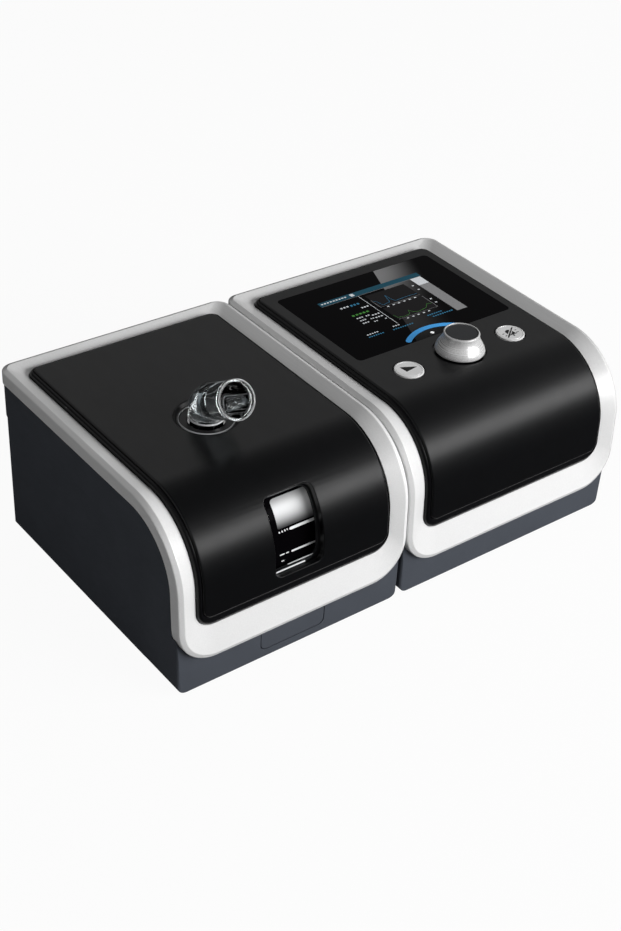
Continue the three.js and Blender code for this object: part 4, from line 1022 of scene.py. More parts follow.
@dataclass
class SilverFrame:
    """The bent silver ring round one raised panel."""

    module: Module
    band: float = 9.0
    bevel: tuple[Pair, ...] = (
        (0, 2.1), (0.06, 1.75), (0.2, 1.48), (0.42, 1.27), (0.72, 1.12), (2.55, 0.2), (2.8, 0.1),
        (3.05, 0.08), (3.4, 0.18),
    )
    face_fall: float = 3.6
    wall: float = 2.2
    foot_chamfer: float = 0.45
    opening_round: float = 0.35

    def form(self) -> Form:
        """The ring in the flat: band, rounded crest, sloping face and hollow underside."""
        rim_depth = self.face_fall + self.wall
        m, soft = self.module, self.opening_round
        loops = [(m.outer(self.foot_chamfer), self.band), (m.outer(0), self.band - self.foot_chamfer)]
        loops += [(m.outer(inset), drop) for inset, drop in self.bevel]
        loops += [
            (m.between(0.965), self.face_fall * 0.965),
            (m.between(0.99), self.face_fall),
            (m.opening(0), self.face_fall + soft),
            (m.opening(0), rim_depth),
            (m.outer(self.wall), self.wall + 0.4),
            (m.outer(self.wall), self.band),
        ]
        return Form.lofted(loops, ring=True, steps=14)


@dataclass
class Shoulder:
    """The narrow black shoulder between the frame and the panel, with its bead."""

    module: Module
    width: float = 2.3
    depth: float = 5.8
    shares: tuple[Pair, ...] = (
        (0, 1), (0, 0.6), (0.05, 0.5), (0.15, 0.4), (0.28, 0.31), (0.42, 0.24), (0.56, 0.185),
        (0.7, 0.15), (0.84, 0.145), (0.94, 0.165), (1, 0.22), (1, 1),
    )

    def form(self) -> Form:
        """The ring in the flat."""
        loops = [
            (self.module.opening(FIT + self.width * across), self.depth * down)
            for across, down in self.shares
        ]
        return Form.lofted(loops, ring=True, steps=12)


@dataclass
class RaisedPanel:
    """The raised black panel: a cushion with soft edges and a skirt below them."""

    module: Module
    inset: float = 2.9
    wall: float = 3.2
    depth: float = 5.8
    skirt: float = 3.0
    edge: float = 1.3

    def form(self) -> Form:
        """The panel in the flat."""
        m = self.module
        loops = [
            (m.opening(self.inset + self.skirt), self.wall),
            (m.opening(self.inset + self.skirt), self.depth),
            (m.opening(self.inset), self.depth),
        ]
        loops += [(m.opening(self.inset + inset), drop) for inset, drop in arc_points(self.edge, 5)]
        return Form.lofted(loops, ring=False, steps=12)


@dataclass
class Base:
    """The slate housing below a frame, with its side recess and its inside."""

    module: Module
    inset: float = 0.6
    front_set: float = 5.2
    front_turn: float = 4.0
    corner_wall: float = 3.1
    wall: float = 4.0
    front_block: float = 18.0
    low: float = 2.0
    low_radius: float = 6.0
    side_radius: float = 2.0
    front_radius: float = 2.2
    band: float = 9.0
    groove: float = 0.7
    recess_depth: float = 2.4
    recess_drop: float = 30.2
    recess_past: float = 7.5
    recess_radius: float = 10.0
    cover_radius: float = 4.0
    outward: float = 25.0

    @property
    def front(self) -> float:
        """The y of the front face."""
        return SKIN.point(0, SKIN.length + self.front_turn, self.front_set).y

    @property
    def block_back(self) -> float:
        """The y behind the solid front."""
        return self.front + self.front_block

    def shell(self) -> Form:
        """The block with its outer shape, its recess and its well."""
        m = self.module
        half = m.width / 2 - self.inset
        corner = m.back_radius - self.inset
        block = Form.prism(
            (-half, half), (self.front, -self.inset), (0, SKIN.crest), Axis.Z,
            (self.front_radius, self.front_radius, corner, corner), 10,
        )
        recess_front = -SKIN.flat_run - self.recess_past
        silhouettes = [
            Form.prism(
                (self.low, SKIN.crest + OVERRUN), (-half, half), (front, OVERRUN), Axis.Y,
                (radius, 0, 0, radius), 10,
            )
            for radius, front in (
                (self.low_radius, self.front - OVERRUN), (self.side_radius, recess_front)
            )
        ]
        block.combine(Union3.KEEP, [silhouettes[0].add(silhouettes[1])])
        wide = Border(m.width, -m.width, SKIN.length + SKIN.lip + OVERRUN, 1, 1)
        above = SKIN.wrap(
            Form.lofted([(wide, self.front_set), (wide, -self.outward)], ring=False, steps=1)
        )
        envelope = SKIN.wrap(Form.lofted(
            [(m.outer(-FIT), self.band + self.groove), (m.outer(-FIT), -self.outward)], ring=False, steps=14
        ))
        side = m.side * half
        depth = (side, side + OVERRUN) if m.side > 0 else (side - OVERRUN, side)
        depth = (depth[0] - (self.recess_depth if m.side > 0 else 0),
                 depth[1] + (self.recess_depth if m.side < 0 else 0))
        recess = Form.prism(
            (recess_front, OVERRUN), (-OVERRUN, SKIN.crest - self.recess_drop),
            depth, Axis.X, (0, 0, 0, self.recess_radius), 12,
        )
        inner = half - self.wall
        well = Form.prism(
            (-inner, inner), (self.block_back, -self.inset - self.wall), (m.shelf, SKIN.crest)
        )
        mouth_front = SKIN.point(0, SKIN.length, self.front_set + self.corner_wall).y
        mouth = Form.prism(
            (-inner, inner), (mouth_front, self.block_back + OVERRUN), (SKIN.lip, SKIN.crest)
        )
        return block.cut(above, envelope, recess, well, mouth)

    def under(self, grow: float, low: float, high: float) -> Form:
        """The space below the base, which its cover closes."""
        half = self.module.width / 2 - self.inset - self.wall - grow
        back = -self.inset - self.wall - grow
        radius = self.cover_radius - grow
        return Form.prism(
            (-half, half), (self.block_back + grow, back), (low, high), Axis.Z, (radius,) * 4, 6
        )


@dataclass
class Foot:
    """A rubber foot with a rounded edge and a shallow dimple."""

    radius: float = 7.0
    sink: float = 1.0
    height: float = 3.0
    dimple: float = 0.35

    def form(self, x: float, y: float) -> Form:
        """The foot at its place."""
        lead = self.radius - self.sink
        return Form.turned([
            (0, self.dimple), (lead * 0.5, self.dimple), (lead * 0.72, 0.05), (lead * 0.8, 0),
            (lead, 0), (lead + self.sink * 0.6, self.sink * 0.25), (self.radius, self.sink),
            (self.radius, self.height), (0, self.height),
        ], (x, y, 0), steps=36)


def feet(base: Base, prefix: str, finishes: Finishes) -> None:
    """Builds the four feet of a base."""
    for number in range(1, 5):
        node = f"{prefix}_foot_{number}"
        low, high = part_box(node)
        x = (low.x + high.x) / 2 / METRE - base.module.centre
        y = (low.y + high.y) / 2 / METRE - base.module.back
        Foot().form(x, y).piece(
            f"{node}_rubber", "housing", "soft_rubber", finishes.of("rubber"), base.module, [node]
        )


@dataclass
class HumidifierLook:
    """The humidifier: base, hinged lid, outlet elbow, latch and tank."""

    finishes: Finishes
    module: Module
    hinge_offset: float = 46.0
    hinge_back: float = 3.6
    hinge_z: float = 100.9
    barrel: float = 3.1
    pin: float = 1.25
    knuckle: float = 10.0
    outer_knuckle: float = 7.0
    arm_height: float = 2.6
    outlet_x: float = -5.5
    outlet_back: float = 103.65
    outlet_hole: float = 18.3
    window_width: float = 31.3
    window_past: float = 32.3
    window_to_lip: float = 33.63
    window_radius: float = 4.5
    latch_width: float = 42.5
    latch_height: float = 15.0
    latch_radius: float = 4.0
    latch_wall: float = 4.2
    latch_travel: float = 2.4
    heater_radius: float = 38.0
    heater_back: float = 80.37
    port_back: float = 75.65
    port_height: float = 58.0
    port_radius: float = 8.0
    shelf_wall: float = 2.5
    tank_floor: float = 23.8
    tank_drop: float = 9.6

    def latch_low(self) -> float:
        """Height of the latch's lower edge."""
        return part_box("latch")[0].z / METRE

    def window(self, grow: float, low: float, high: float) -> Form:
        """The window's opening in the flat, between two drops."""
        front = SKIN.length - self.window_to_lip
        border = Border(
            self.window_width / 2 + grow, SKIN.flat_run + self.window_past - grow, front + grow,
            self.window_radius + grow, self.window_radius + grow,
        )
        return Form.lofted([(border, low), (border, high)], ring=False, steps=10)

    def build_base(self) -> None:
        """The slate base with rails, knuckles, latch pocket, heater hole and port."""
        base = Base(self.module)
        half = self.latch_width / 2 + FIT
        low = self.latch_low()
        back = base.front + self.latch_wall + self.latch_travel + FIT
        pocket = Form.prism(
            (low - FIT, SKIN.lip + OVERRUN), (-half, half), (base.front - OVERRUN, back), Axis.Y,
            (self.latch_radius, 0, 0, self.latch_radius), 8,
        )
        middle = low + self.latch_height / 2
        bore = Form.rod(3.6, (back - OVERRUN, back + 8), (0, 0, middle), Axis.Y, 24)
        port = Form.rod(
            self.port_radius + FIT, (0, self.module.width), (0, -self.port_back, self.port_height),
            Axis.X, 32,
        )
        shelf = self.module.shelf
        under = base.under(0, base.low - OVERRUN, shelf - self.shelf_wall)
        heater = Form.rod(
            self.heater_radius + FIT, (shelf - self.shelf_wall - OVERRUN, shelf + OVERRUN),
            (0, -self.heater_back, 0), Axis.Z, 72,
        )
        rails = [
            Form.prism((x - 2.5, x + 2.5), (base.block_back - 1, -16), (shelf - 1, self.tank_floor - FIT))
            for x in (-52, 52)
        ]
        body = base.shell().add(*rails, *self._knuckles(base))
        body.cut(under, heater, pocket, bore, port)
        body.piece(
            "hum_base_shell", "housing", "slate", self.finishes.of("slate"), self.module, ["hum_base"],
            bevel=0.35,
        )
        feet(base, "hum", self.finishes)

    def _knuckles(self, base: Base) -> list[Form]:
        """The fixed knuckles of the hinge with their webs."""
        forms = []
        gap = self.knuckle / 2 + FIT
        for side in (-1, 1):
            for end in (-1, 1):
                near = side * self.hinge_offset + end * gap
                far = near + end * self.outer_knuckle
                span = (min(near, far), max(near, far))
                ring = [(self.pin + FIT, span[0]), (self.barrel, span[0]), (self.barrel, span[1]),
                        (self.pin + FIT, span[1]), (self.pin + FIT, span[0])]
                forms.append(Form.turned(ring, (0, self.hinge_back, self.hinge_z), Axis.X, 36))
                web = Form.prism(
                    (-base.inset - 1, self.hinge_back - self.pin - FIT),
                    (self.hinge_z - 4 * self.barrel, self.hinge_z - 1.2), span, Axis.X,
                )
                forms.append(web)
        return forms

    def build_lid(self) -> None:
        """Frame, shoulder, panel and outlet dish of the lid."""
        m, look = self.module, self.finishes.of
        ring = SKIN.wrap(SilverFrame(m).form())
        gap = self.knuckle / 2 + FIT
        notches = [
            Form.prism(
                (side * self.hinge_offset - gap, side * self.hinge_offset + gap),
                (-2.2 - OVERRUN, OVERRUN),
                (self.hinge_z - OVERRUN, self.hinge_z + self.arm_height + FIT),
            )
            for side in (-1, 1)
        ]
        ring.cut(*notches).piece("lid_frame_silver", "lid", "silver", look("silver"), m, ["lid_frame"])
        SKIN.wrap(Shoulder(m).form()).piece(
            "lid_shoulder", "lid", "gloss_black", look("trim"), m, ["lid_trim"]
        )
        panel = RaisedPanel(m).form()
        outlet = Form.rod(
            self.outlet_hole, (-12, OVERRUN), (self.outlet_x, -self.outlet_back, 0), Axis.Z, 96
        )
        panel.cut(outlet, self.window(0, 14, -OVERRUN))
        panel.round_edges(0.5, 3, self._window_edge)
        SKIN.wrap(panel).piece(
            "lid_panel_satin", "lid", "panel_black", look("panel"), m, ["lid_panel"]
        )
        self._dish().piece(
            "outlet_dish", "lid", "gloss_black", look("panel"), m, ["outlet_collar"], sharp=50
        )

    def _window_edge(self, edge: bmesh.types.BMEdge) -> bool:
        """Whether an edge lies on the upper rim of the window, in the flat."""
        half = self.window_width / 2 + 1
        back = -SKIN.flat_run - self.window_past + 1
        return all(
            abs(v.co.z) < 0.01 and abs(v.co.x) < half and v.co.y < back for v in edge.verts
        )

    def _dish(self) -> Form:
        """The shallow dish round the outlet, which the panel runs into without a step."""
        outer, fall, bore = self.outlet_hole - 0.1, 2.4, 10.7
        slope = [
            (outer - 2.2 * share, SKIN.crest - fall * smooth_share(0, 1, share))
            for share in (0, 0.15, 0.3, 0.45, 0.6, 0.75, 0.9, 1)
        ]
        profile = [(bore, SKIN.crest - 5.8), (outer, SKIN.crest - 5.8), *slope,
                   (bore, SKIN.crest - fall), (bore, SKIN.crest - 5.8)]
        return Form.turned(profile, (self.outlet_x, -self.outlet_back, 0), steps=96)

    def build_elbow(self) -> None:
        """The clear elbow: tail, mitred bend, rimmed mouth and swivel flange, with glowing rings of painted
        highlight at its foot, on the flange and on the mouth.
        """
        radius, wall, bend, start, angle = 10.4, 1.2, 12.0, 2.37, math.radians(60)
        reach, rim, steps = 31.9 - bend * math.tan(angle / 2), 2.6, 16
        way = Vector((0, -math.sin(angle), math.cos(angle)))
        form = Form()
        rims = []
        for size in (radius, radius - wall):
            ring = bmesh.ops.create_circle(form.mesh, segments=72, radius=size)["verts"]
            rims += list({edge for vert in ring for edge in vert.link_edges})
        faces = bmesh.ops.bridge_loops(form.mesh, edges=rims)["faces"]
        form.move((0, 0, -10.4))
        faces = self._draw(form, faces, (0, 0, start + 10.4))
        for _ in range(steps):
            faces = self._draw(form, faces, (0, 0, 0))
            bmesh.ops.rotate(
                form.mesh, cent=(0, -bend, start), matrix=Matrix.Rotation(angle / steps, 3, "X"),
                verts=list({vert for face in faces for vert in face.verts}),
            )
        faces = self._draw(form, faces, way * (reach - rim - wall))
        faces = self._draw(form, faces, way * wall, 11.0 / radius)
        self._draw(form, faces, way * rim)
        form.settle()
        # The mouth's rim ring, a painted highlight that glows with the other rings below.
        edge = Form.turned([
            (10.55, -0.35), (11.0, -0.35), (11.0, -0.12), (10.9, 0), (10.65, 0), (10.55, -0.12),
            (10.55, -0.35),
        ], steps=72).turn(angle, "X")
        mouth = Vector((0, -bend * (1 - math.cos(angle)), start + bend * math.sin(angle)))
        mouth += way * reach
        flange = Form.turned([
            (radius - wall / 2, -2.1), (14.6, -2.1), (15, -1.8), (15, -1.3), (14.8, -1.05),
            (12.6, -0.62), (11.9, -0.3), (11.6, 0.3), (11.6, 2.2), (11.3, 2.6),
            (radius - wall / 2, 2.6), (radius - wall / 2, -2.1),
        ], steps=96)
        bead = Form.turned([
            (radius - 0.3, -0.35), (radius + 0.28, -0.2), (radius + 0.28, 0.2), (radius - 0.3, 0.35),
            (radius - 0.3, -0.35),
        ], steps=72)
        bead.turn(angle / 2, "X").move((0, -bend * (1 - math.cos(angle / 2)),
                                        start + bend * math.sin(angle / 2)))
        form.add(flange, bead)
        form.move((self.outlet_x, -self.outlet_back, SKIN.crest))
        form.piece("outlet_elbow", "elbow", "clear", self.finishes.of("clear"), self.module, ["elbow"])
        # Painted highlights: glowing grey rings at the elbow's foot, on the flange's front edge and on the
        # mouth's rim.
        foot = Vector((self.outlet_x, -self.outlet_back, SKIN.crest))
        lines = Form.turned([
            (9.7, 0.1), (10.3, 0.1), (10.3, 0.75), (9.7, 0.75), (9.7, 0.1),
        ], foot, steps=96)
        front = Form.turned([
            (15.02, -2.35), (15.4, -2.3), (15.35, -1.7), (15.02, -1.4), (15.02, -2.35),
        ], foot, steps=96)
        lines.gather(front, edge.move(mouth + foot)).piece(
            "elbow_rim_highlights", "elbow", "clear", self.finishes.extra(Lit("painted_rim_highlight", (0.5, 0.51, 0.52), 0.08)),
            self.module,
        )

    @staticmethod
    def _draw(
        form: Form, faces: Sequence[bmesh.types.BMFace], way: Sequence[float], grow: float = 1.0
    ) -> list[bmesh.types.BMFace]:
        """Extrudes the end faces along way and scales the new end about its own centre."""
        made = bmesh.ops.extrude_face_region(form.mesh, geom=list(faces))["geom"]
        verts = [item for item in made if isinstance(item, bmesh.types.BMVert)]
        bmesh.ops.translate(form.mesh, vec=way, verts=verts)
        if grow != 1.0:
            middle = sum((vert.co for vert in verts), Vector()) / len(verts)
            bmesh.ops.scale(
                form.mesh, vec=(grow, grow, grow), space=Matrix.Translation(-middle), verts=verts
            )
        return [item for item in made if isinstance(item, bmesh.types.BMFace)]

    def build_latch(self) -> None:
        """The latch tab with soft edges, and its stem."""
        base = Base(self.module)
        low = self.latch_low()
        half = self.latch_width / 2
        tab = Form.prism(
            (low, low + self.latch_height), (-half, half), (base.front, base.front + self.latch_wall),
            Axis.Y, (self.latch_radius, 0, 0, self.latch_radius), 10,
        )
        tab.round_edges(0.45, 3, lambda edge: all(v.co.y < base.front + 0.1 for v in edge.verts))
        stem = Form.rod(
            1.5, (base.front + self.latch_wall - 1, base.front + self.latch_wall + 5),
            (0, 0, low + self.latch_height / 2), Axis.Y, 24,
        )
        tab.add(stem).piece(
            "latch_tab", "latch", "slate", self.finishes.of("slate"), self.module, ["latch"]
        )

    def build_level_marks(self) -> None:
        """The band of painted reflection, the black sheet of painted shade, the level lines on the tank's
        front wall and a painted highlight in the window.
        """
        drop = self.tank_drop - 0.03
        # Painted reflection: a glowing band behind the window, bright at its top.
        reflection_band = Border(12.9, 172.6, 193.6, 2.5, 1.0, 6.3)
        sheet = Form.lofted([(reflection_band, drop - 0.02), (reflection_band, drop - 0.1)], ring=False, steps=5)
        SKIN.wrap(sheet).piece(
            "level_reflection_band", "housing", "clear", self.finishes.extra(PaintedReflectionBand("painted_reflection_band")), self.module
        )
        # Painted shade: a black sheet on the tank's front wall stands in for the dark inside of the tank
        # seen through the window.
        shade_sheet_border = Border(17.0, 168.0, 226.0, 2.0, 2.0, 7.0)
        backing = Form.lofted([(shade_sheet_border, drop + 0.02), (shade_sheet_border, drop)], ring=False, steps=5)
        SKIN.wrap(backing).piece(
            "level_shade_sheet", "housing", "gloss_black", self.finishes.of("glass"), self.module
        )
        drop -= 0.02
        lines = Form()
        for left, right, run, half in (
            (0.5, 18.8, 196.0, 1.0), (1.2, 19.0, 212.6, 0.6), (0.0, 19.8, 220.4, 0.5),
            (-6.4, -5.6, 195.9, 0.7), (-4.6, -3.8, 195.9, 0.8),
            (-2.8, -2.0, 195.8, 0.8), (-1.2, -0.6, 195.6, 0.7), (-6.4, -3.2, 212.4, 0.35),
            (-2.4, -0.4, 212.4, 0.35), (-5.4, -3.4, 216.6, 0.3),
        ):
            line = Border((right - left) / 2, run - half, run + half, half * 0.9, half * 0.9,
                          (left + right) / 2)
            lines.gather(Form.lofted([(line, drop), (line, drop - 0.12)], ring=False, steps=3))
        # Two white strips low in the window: a painted highlight along the lower edge of the window's
        # opening, at drop 4.4, and a level line on the sill, at drop 7.2.
        for left, right, run, half, depth in (
            (-12.6, 6.4, 217.9, 0.42, 4.4), (-3.0, 17.2, 218.0, 0.22, 7.2)
        ):
            line = Border((right - left) / 2, run - half, run + half, half * 0.9, half * 0.9,
                          (left + right) / 2)
            lines.gather(Form.lofted([(line, depth), (line, depth - 0.3)], ring=False, steps=3))
        SKIN.wrap(lines).piece(
            "level_lines_and_glint", "housing", "clear",
            self.finishes.extra(Moulded("white_print_and_glint", (0.62, 0.63, 0.64), 0.4, 0.00001, 1500.0)),
            self.module,
        )

    def build(self) -> None:
        """Builds the whole humidifier."""
        self.build_base()
        self.build_lid()
        self.build_elbow()
        self.build_latch()
        self.build_level_marks()


@dataclass(frozen=True)
class Mark:
    """A bar of light on the display: its ranges in millimetres and its colour."""

    x: Pair
    y: Pair
    color: str


@dataclass(frozen=True)
class Trace:
    """A curve on the display as a row of points, with its width and colour."""

    points: tuple[Pair, ...]
    width: float
    color: str


@dataclass
class Display:
    """What the screen shows: bars, rows of plain dashes in place of words, and two curves."""

    shift: float = -0.65
    colors: dict[str, Lit] = field(default_factory=lambda: {
        "teal": Lit("lit_teal", (0.006, 0.05, 0.078), 0.5, 0.0005),
        "white": Lit("lit_white", (0.5, 0.52, 0.54), 0.6, 0.0005),
        "grey": Lit("lit_grey", (0.2, 0.2, 0.205), 0.45, 0.0005),
        "green": Lit("lit_green", (0.05, 0.2, 0.035), 0.5, 0.0005),
        "blue": Lit("lit_blue", (0.03, 0.16, 0.28), 0.5, 0.0005),
        "dusk": Lit("lit_dusk", (0.006, 0.0052, 0.006), 0.2, 0.0005),
    })

    def bars(self) -> list[Mark]:
        """The plain bars, lines and fields."""
        return [
            Mark((-39, 39.6), (-41.2, -36.6), "teal"), Mark((-39, 30.4), (-41.6, -41.4), "grey"),
            Mark((-15.3, -12.6), (-40.2, -37.4), "white"), Mark((30.4, 38.6), (-50.6, -41.6), "white"),
            Mark((-11.6, -11.25), (-80, -42), "white"),
            Mark((30.4, 38.6), (-87, -50.8), "grey"),
            Mark((-8.2, 23.5), (-59.8, -59.65), "grey"), Mark((-8.2, -7.9), (-59.6, -50), "grey"),
            Mark((-7.9, 23.0), (-59.4, -44), "dusk"), Mark((-7.6, 23.5), (-76.9, -76.75), "grey"),
            Mark((-7.9, 23.0), (-76.5, -61.5), "dusk"), Mark((23.0, 23.3), (-76.8, -62), "grey"),
        ]

    def dashes(self) -> list[Mark]:
        """Rows of short dashes where a screen has its words and numbers."""
        rows = [
            ((-37.5, -17.5), -38.7, 1.6, "white", 9), ((-30.5, -23.5), -48.7, 1.8, "white", 3),
            ((-23.0, -15.6), -49.0, 2.4, "blue", 3), ((-18.5, -12.5), -54.3, 1.8, "white", 3),
            ((-29.7, -16.2), -59.4, 2.2, "green", 5), ((-29.2, -24.0), -63.2, 1.5, "white", 3),
            ((-22.5, -19.2), -63.4, 1.5, "white", 2), ((-18.6, -12.2), -64.6, 1.5, "white", 3),
            ((-29.1, -24.2), -66.4, 1.5, "white", 3), ((-22.0, -19.1), -67.6, 1.2, "white", 2),
            ((-29.6, -24.4), -69.6, 1.5, "white", 3), ((-22.2, -19.1), -71.2, 1.2, "white", 2),
            ((-14.3, -12.3), -71.8, 1.2, "white", 1), ((-18.6, -12.4), -68.0, 1.5, "white", 3),
            ((-36.1, -27.0), -81.6, 1.3, "white", 5), ((-36.6, -24.8), -84.2, 1.3, "blue", 7),
            ((-16.5, -10.8), -81.7, 1.3, "white", 3), ((-18.6, -2.6), -84.8, 1.3, "blue", 9),
            ((10.2, 22.2), -82.4, 1.3, "blue", 7), ((12.4, 28.8), -85.0, 1.3, "blue", 9),
            ((-4.0, 21.6), -61.2, 1.2, "white", 6), ((-2.6, 18.4), -78.4, 1.2, "white", 5),
            ((26.0, 28.2), -48.9, 1.4, "white", 1), ((26.2, 28.4), -54.4, 1.4, "white", 1),
            ((25.0, 27.4), -67.4, 1.4, "white", 1), ((25.2, 27.4), -72.3, 1.4, "white", 1),
        ]
        marks = []
        for (start, end), y, tall, color, count in rows:
            pitch = (end - start) / count
            fill = 0.62 if pitch < 3 else 0.36
            for number in range(count):
                left = start + pitch * number
                marks.append(Mark((left, left + pitch * fill), (y - tall * 0.36, y + tall * 0.36), color))
        return marks

    def traces(self) -> list[Trace]:
        """The two curves."""
        upper = ((-7.4, -51.5), (-5.7, -53.5), (-4.6, -58.4), (1.2, -57.2), (3.4, -49.6),
                 (4.4, -55.8), (5.4, -57.9), (12, -57.4), (22.6, -57.6))
        lower = ((-7.4, -71.3), (-6.6, -74.8), (-1.1, -75.9), (2.6, -74.8), (4.4, -71.2),
                 (5.6, -74.0), (9.2, -75.6), (16.3, -74.2), (19.2, -70.8), (22.5, -72.0))
        return [Trace(upper, 0.2, "blue"), Trace(lower, 0.2, "green")]


@dataclass
class MainLook:
    """The main module: base, frame, panel, screen, knob and buttons."""

    finishes: Finishes
    module: Module
    display: Display = field(default_factory=Display)
    shift: float = -0.2
    glass_shift: float = 1.1
    glass_margin: float = 10.15
    glass_back: float = 21.85
    glass_front: float = 102.85
    glass_wall: float = 1.5
    glass_radius: float = 3.0
    arc_radius: float = 30.6
    arc_width: float = 3.4
    arc_half_angle: float = math.radians(38)
    led_distance: float = 24.6
    led_radius: float = 1.3
    knob_back: float = 124.35
    knob_radius: float = 15.1
    knob_top: float = 11.3
    knob_height: float = 12.7
    knob_cap: float = 9.5
    button_offset: float = 39.65
    button_back: float = 125.4
    button_radius: float = 8.8
    button_lift: float = 0.6
    button_gap: float = 0.75
    port_back: float = 75.65
    port_height: float = 58.0
    port_radius: float = 8.0

    def knob_centre(self, level: float = 0.0) -> Triple:
        """The knob's axis at a level."""
        return (self.shift, -self.knob_back, level)

    def button_centre(self, side: int, level: float = 0.0) -> Triple:
        """A button's axis at a level."""
        return (self.shift + side * self.button_offset, -self.button_back, level)

    def arc(self, grow: float, low: float, high: float) -> Form:
        """The lamp's arc round the knob, with round ends."""
        form = Form()
        half = self.arc_width / 2 + grow
        inner, outer = self.arc_radius - half, self.arc_radius + half
        corners = [(inner, low), (outer, low), (outer, high), (inner, high)]
        verts = [form.mesh.verts.new((x, 0, z)) for x, z in corners]
        face = form.mesh.faces.new(verts)
        bmesh.ops.rotate(
            form.mesh, cent=(0, 0, 0), verts=form.mesh.verts,
            matrix=Matrix.Rotation(math.pi / 2 - self.arc_half_angle, 3, "Z"),
        )
        bmesh.ops.spin(
            form.mesh, geom=[*form.mesh.verts, *form.mesh.edges, face], cent=(0, 0, 0),
            axis=(0, 0, 1), dvec=(0, 0, 0), angle=2 * self.arc_half_angle, steps=36,
            use_merge=False, use_duplicate=False,
        )
        form.settle()
        ends = []
        for sign in (-1, 1):
            angle = math.pi / 2 + sign * self.arc_half_angle
            spot = (self.arc_radius * math.cos(angle), self.arc_radius * math.sin(angle), 0)
            ends.append(Form.rod(half, (low, high), spot, steps=24))
        return form.add(*ends).move(self.knob_centre())

    def build_base(self) -> None:
        """The slate base with its port, card slot, socket and filter seat."""
        base = Base(self.module)
        half = self.module.width / 2 - base.inset
        under = base.under(0, base.low - OVERRUN, self.module.shelf + OVERRUN)
        port = Form.rod(
            self.port_radius + FIT, (-self.module.width, 0), (0, -self.port_back, self.port_height),
            Axis.X, 32,
        )
        card = self._hole_round("memory_card", FIT, (half - base.wall - OVERRUN, half + OVERRUN))
        socket_low, socket_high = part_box("power_socket")
        socket_x = (socket_low.x + socket_high.x) / 2 / METRE - self.module.centre
        socket_z = (socket_low.z + socket_high.z) / 2 / METRE
        socket = Form.rod(5.9, (-base.wall * 2, OVERRUN), (socket_x, 0, socket_z), Axis.Y, 32)
        low, high = self._local_box("filter")
        sleeve_back = low.y - FIT - 3.0
        sleeve = Form.prism(
            (low.x - 3, high.x + 3), (sleeve_back, -base.inset - base.wall / 2),
            (low.z - 3, high.z + 3),
        )
        space = Form.prism(
            (low.x - FIT, high.x + FIT), (sleeve_back + 3, OVERRUN), (low.z - FIT, high.z + FIT)
        )
        open_way = Form.prism(
            (low.x + 3, high.x - 3), (sleeve_back - OVERRUN, OVERRUN), (low.z + 3, high.z - 3)
        )
        low, high = self._local_box("filter_cover")
        seat = Form.prism(
            (low.x - FIT, high.x + FIT), (low.y - FIT, OVERRUN), (low.z - FIT, high.z + FIT)
        )
        body = base.shell().add(sleeve)
        body.cut(under, port, card, socket, space, open_way, seat)
        body.piece(
            "main_base_shell", "housing", "slate", self.finishes.of("slate"), self.module,
            ["main_base"], bevel=0.35,
        )
        feet(base, "main", self.finishes)

    def _local_box(self, node: str) -> tuple[Vector, Vector]:
        """A CAD node's box in the module's own millimetres."""
        shift = Vector((self.module.centre, self.module.back, 0))
        low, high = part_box(node)
        return low / METRE - shift, high / METRE - shift

    def _hole_round(self, node: str, grow: float, x: Pair) -> Form:
        """A straight way through a side wall round a CAD node."""
        low, high = self._local_box(node)
        return Form.prism(
            x, (low.y - grow, high.y + grow), (low.z - grow, high.z + grow), Axis.Z
        )

    def build_top(self) -> None:
        """Frame, shoulder and panel with its beds."""
        m, look = self.module, self.finishes.of
        SKIN.wrap(SilverFrame(m).form()).piece(
            "main_frame_silver", "housing", "silver", look("silver"), m, ["main_frame"]
        )
        SKIN.wrap(Shoulder(m).form()).piece(
            "main_shoulder", "housing", "gloss_black", look("trim"), m, ["main_trim"]
        )
        half = self.module.width / 2 - self.module.rim - self.glass_margin + FIT
        radius = self.glass_radius
        bed = Form.prism(
            (self.glass_shift - half, self.glass_shift + half),
            (-self.glass_front - FIT, -self.glass_back + FIT),
            (-self.glass_wall - FIT, OVERRUN), Axis.Z, (radius,) * 4, 8,
        )
        low, high = self._local_box("lcd")
        display = Form.prism(
            (low.x - FIT, high.x + FIT), (low.y - FIT, high.y + FIT), (-8, OVERRUN)
        )
        knob = Form.rod(self.knob_radius + 1, (-1.1, OVERRUN), self.knob_centre(), steps=96)
        shaft = Form.rod(3.6, (-8, OVERRUN), self.knob_centre(), steps=32)
        buttons = [
            Form.rod(self.button_radius + self.button_gap, (-8, OVERRUN), self.button_centre(side), steps=72)
            for side in (-1, 1)
        ]
        panel = RaisedPanel(m).form().cut(bed, display, knob, shaft, *buttons)
        panel.round_edges(0.3, 2, self._bed_edge)
        SKIN.wrap(panel).piece(
            "main_panel_satin", "housing", "panel_black", look("panel"), m, ["main_panel"]
        )

    def _bed_edge(self, edge: bmesh.types.BMEdge) -> bool:
        """Whether an edge lies on the upper rim of a round bed, in the flat."""
        centres = [
            (self.knob_centre(), self.knob_radius + 1),
            (self.button_centre(-1), self.button_radius + self.button_gap),
            (self.button_centre(1), self.button_radius + self.button_gap),
        ]
        return any(
            all(
                abs(v.co.z) < 0.01 and abs(math.hypot(v.co.x - c[0], v.co.y - c[1]) - r) < 0.05
                for v in edge.verts
            )
            for c, r in centres
        )

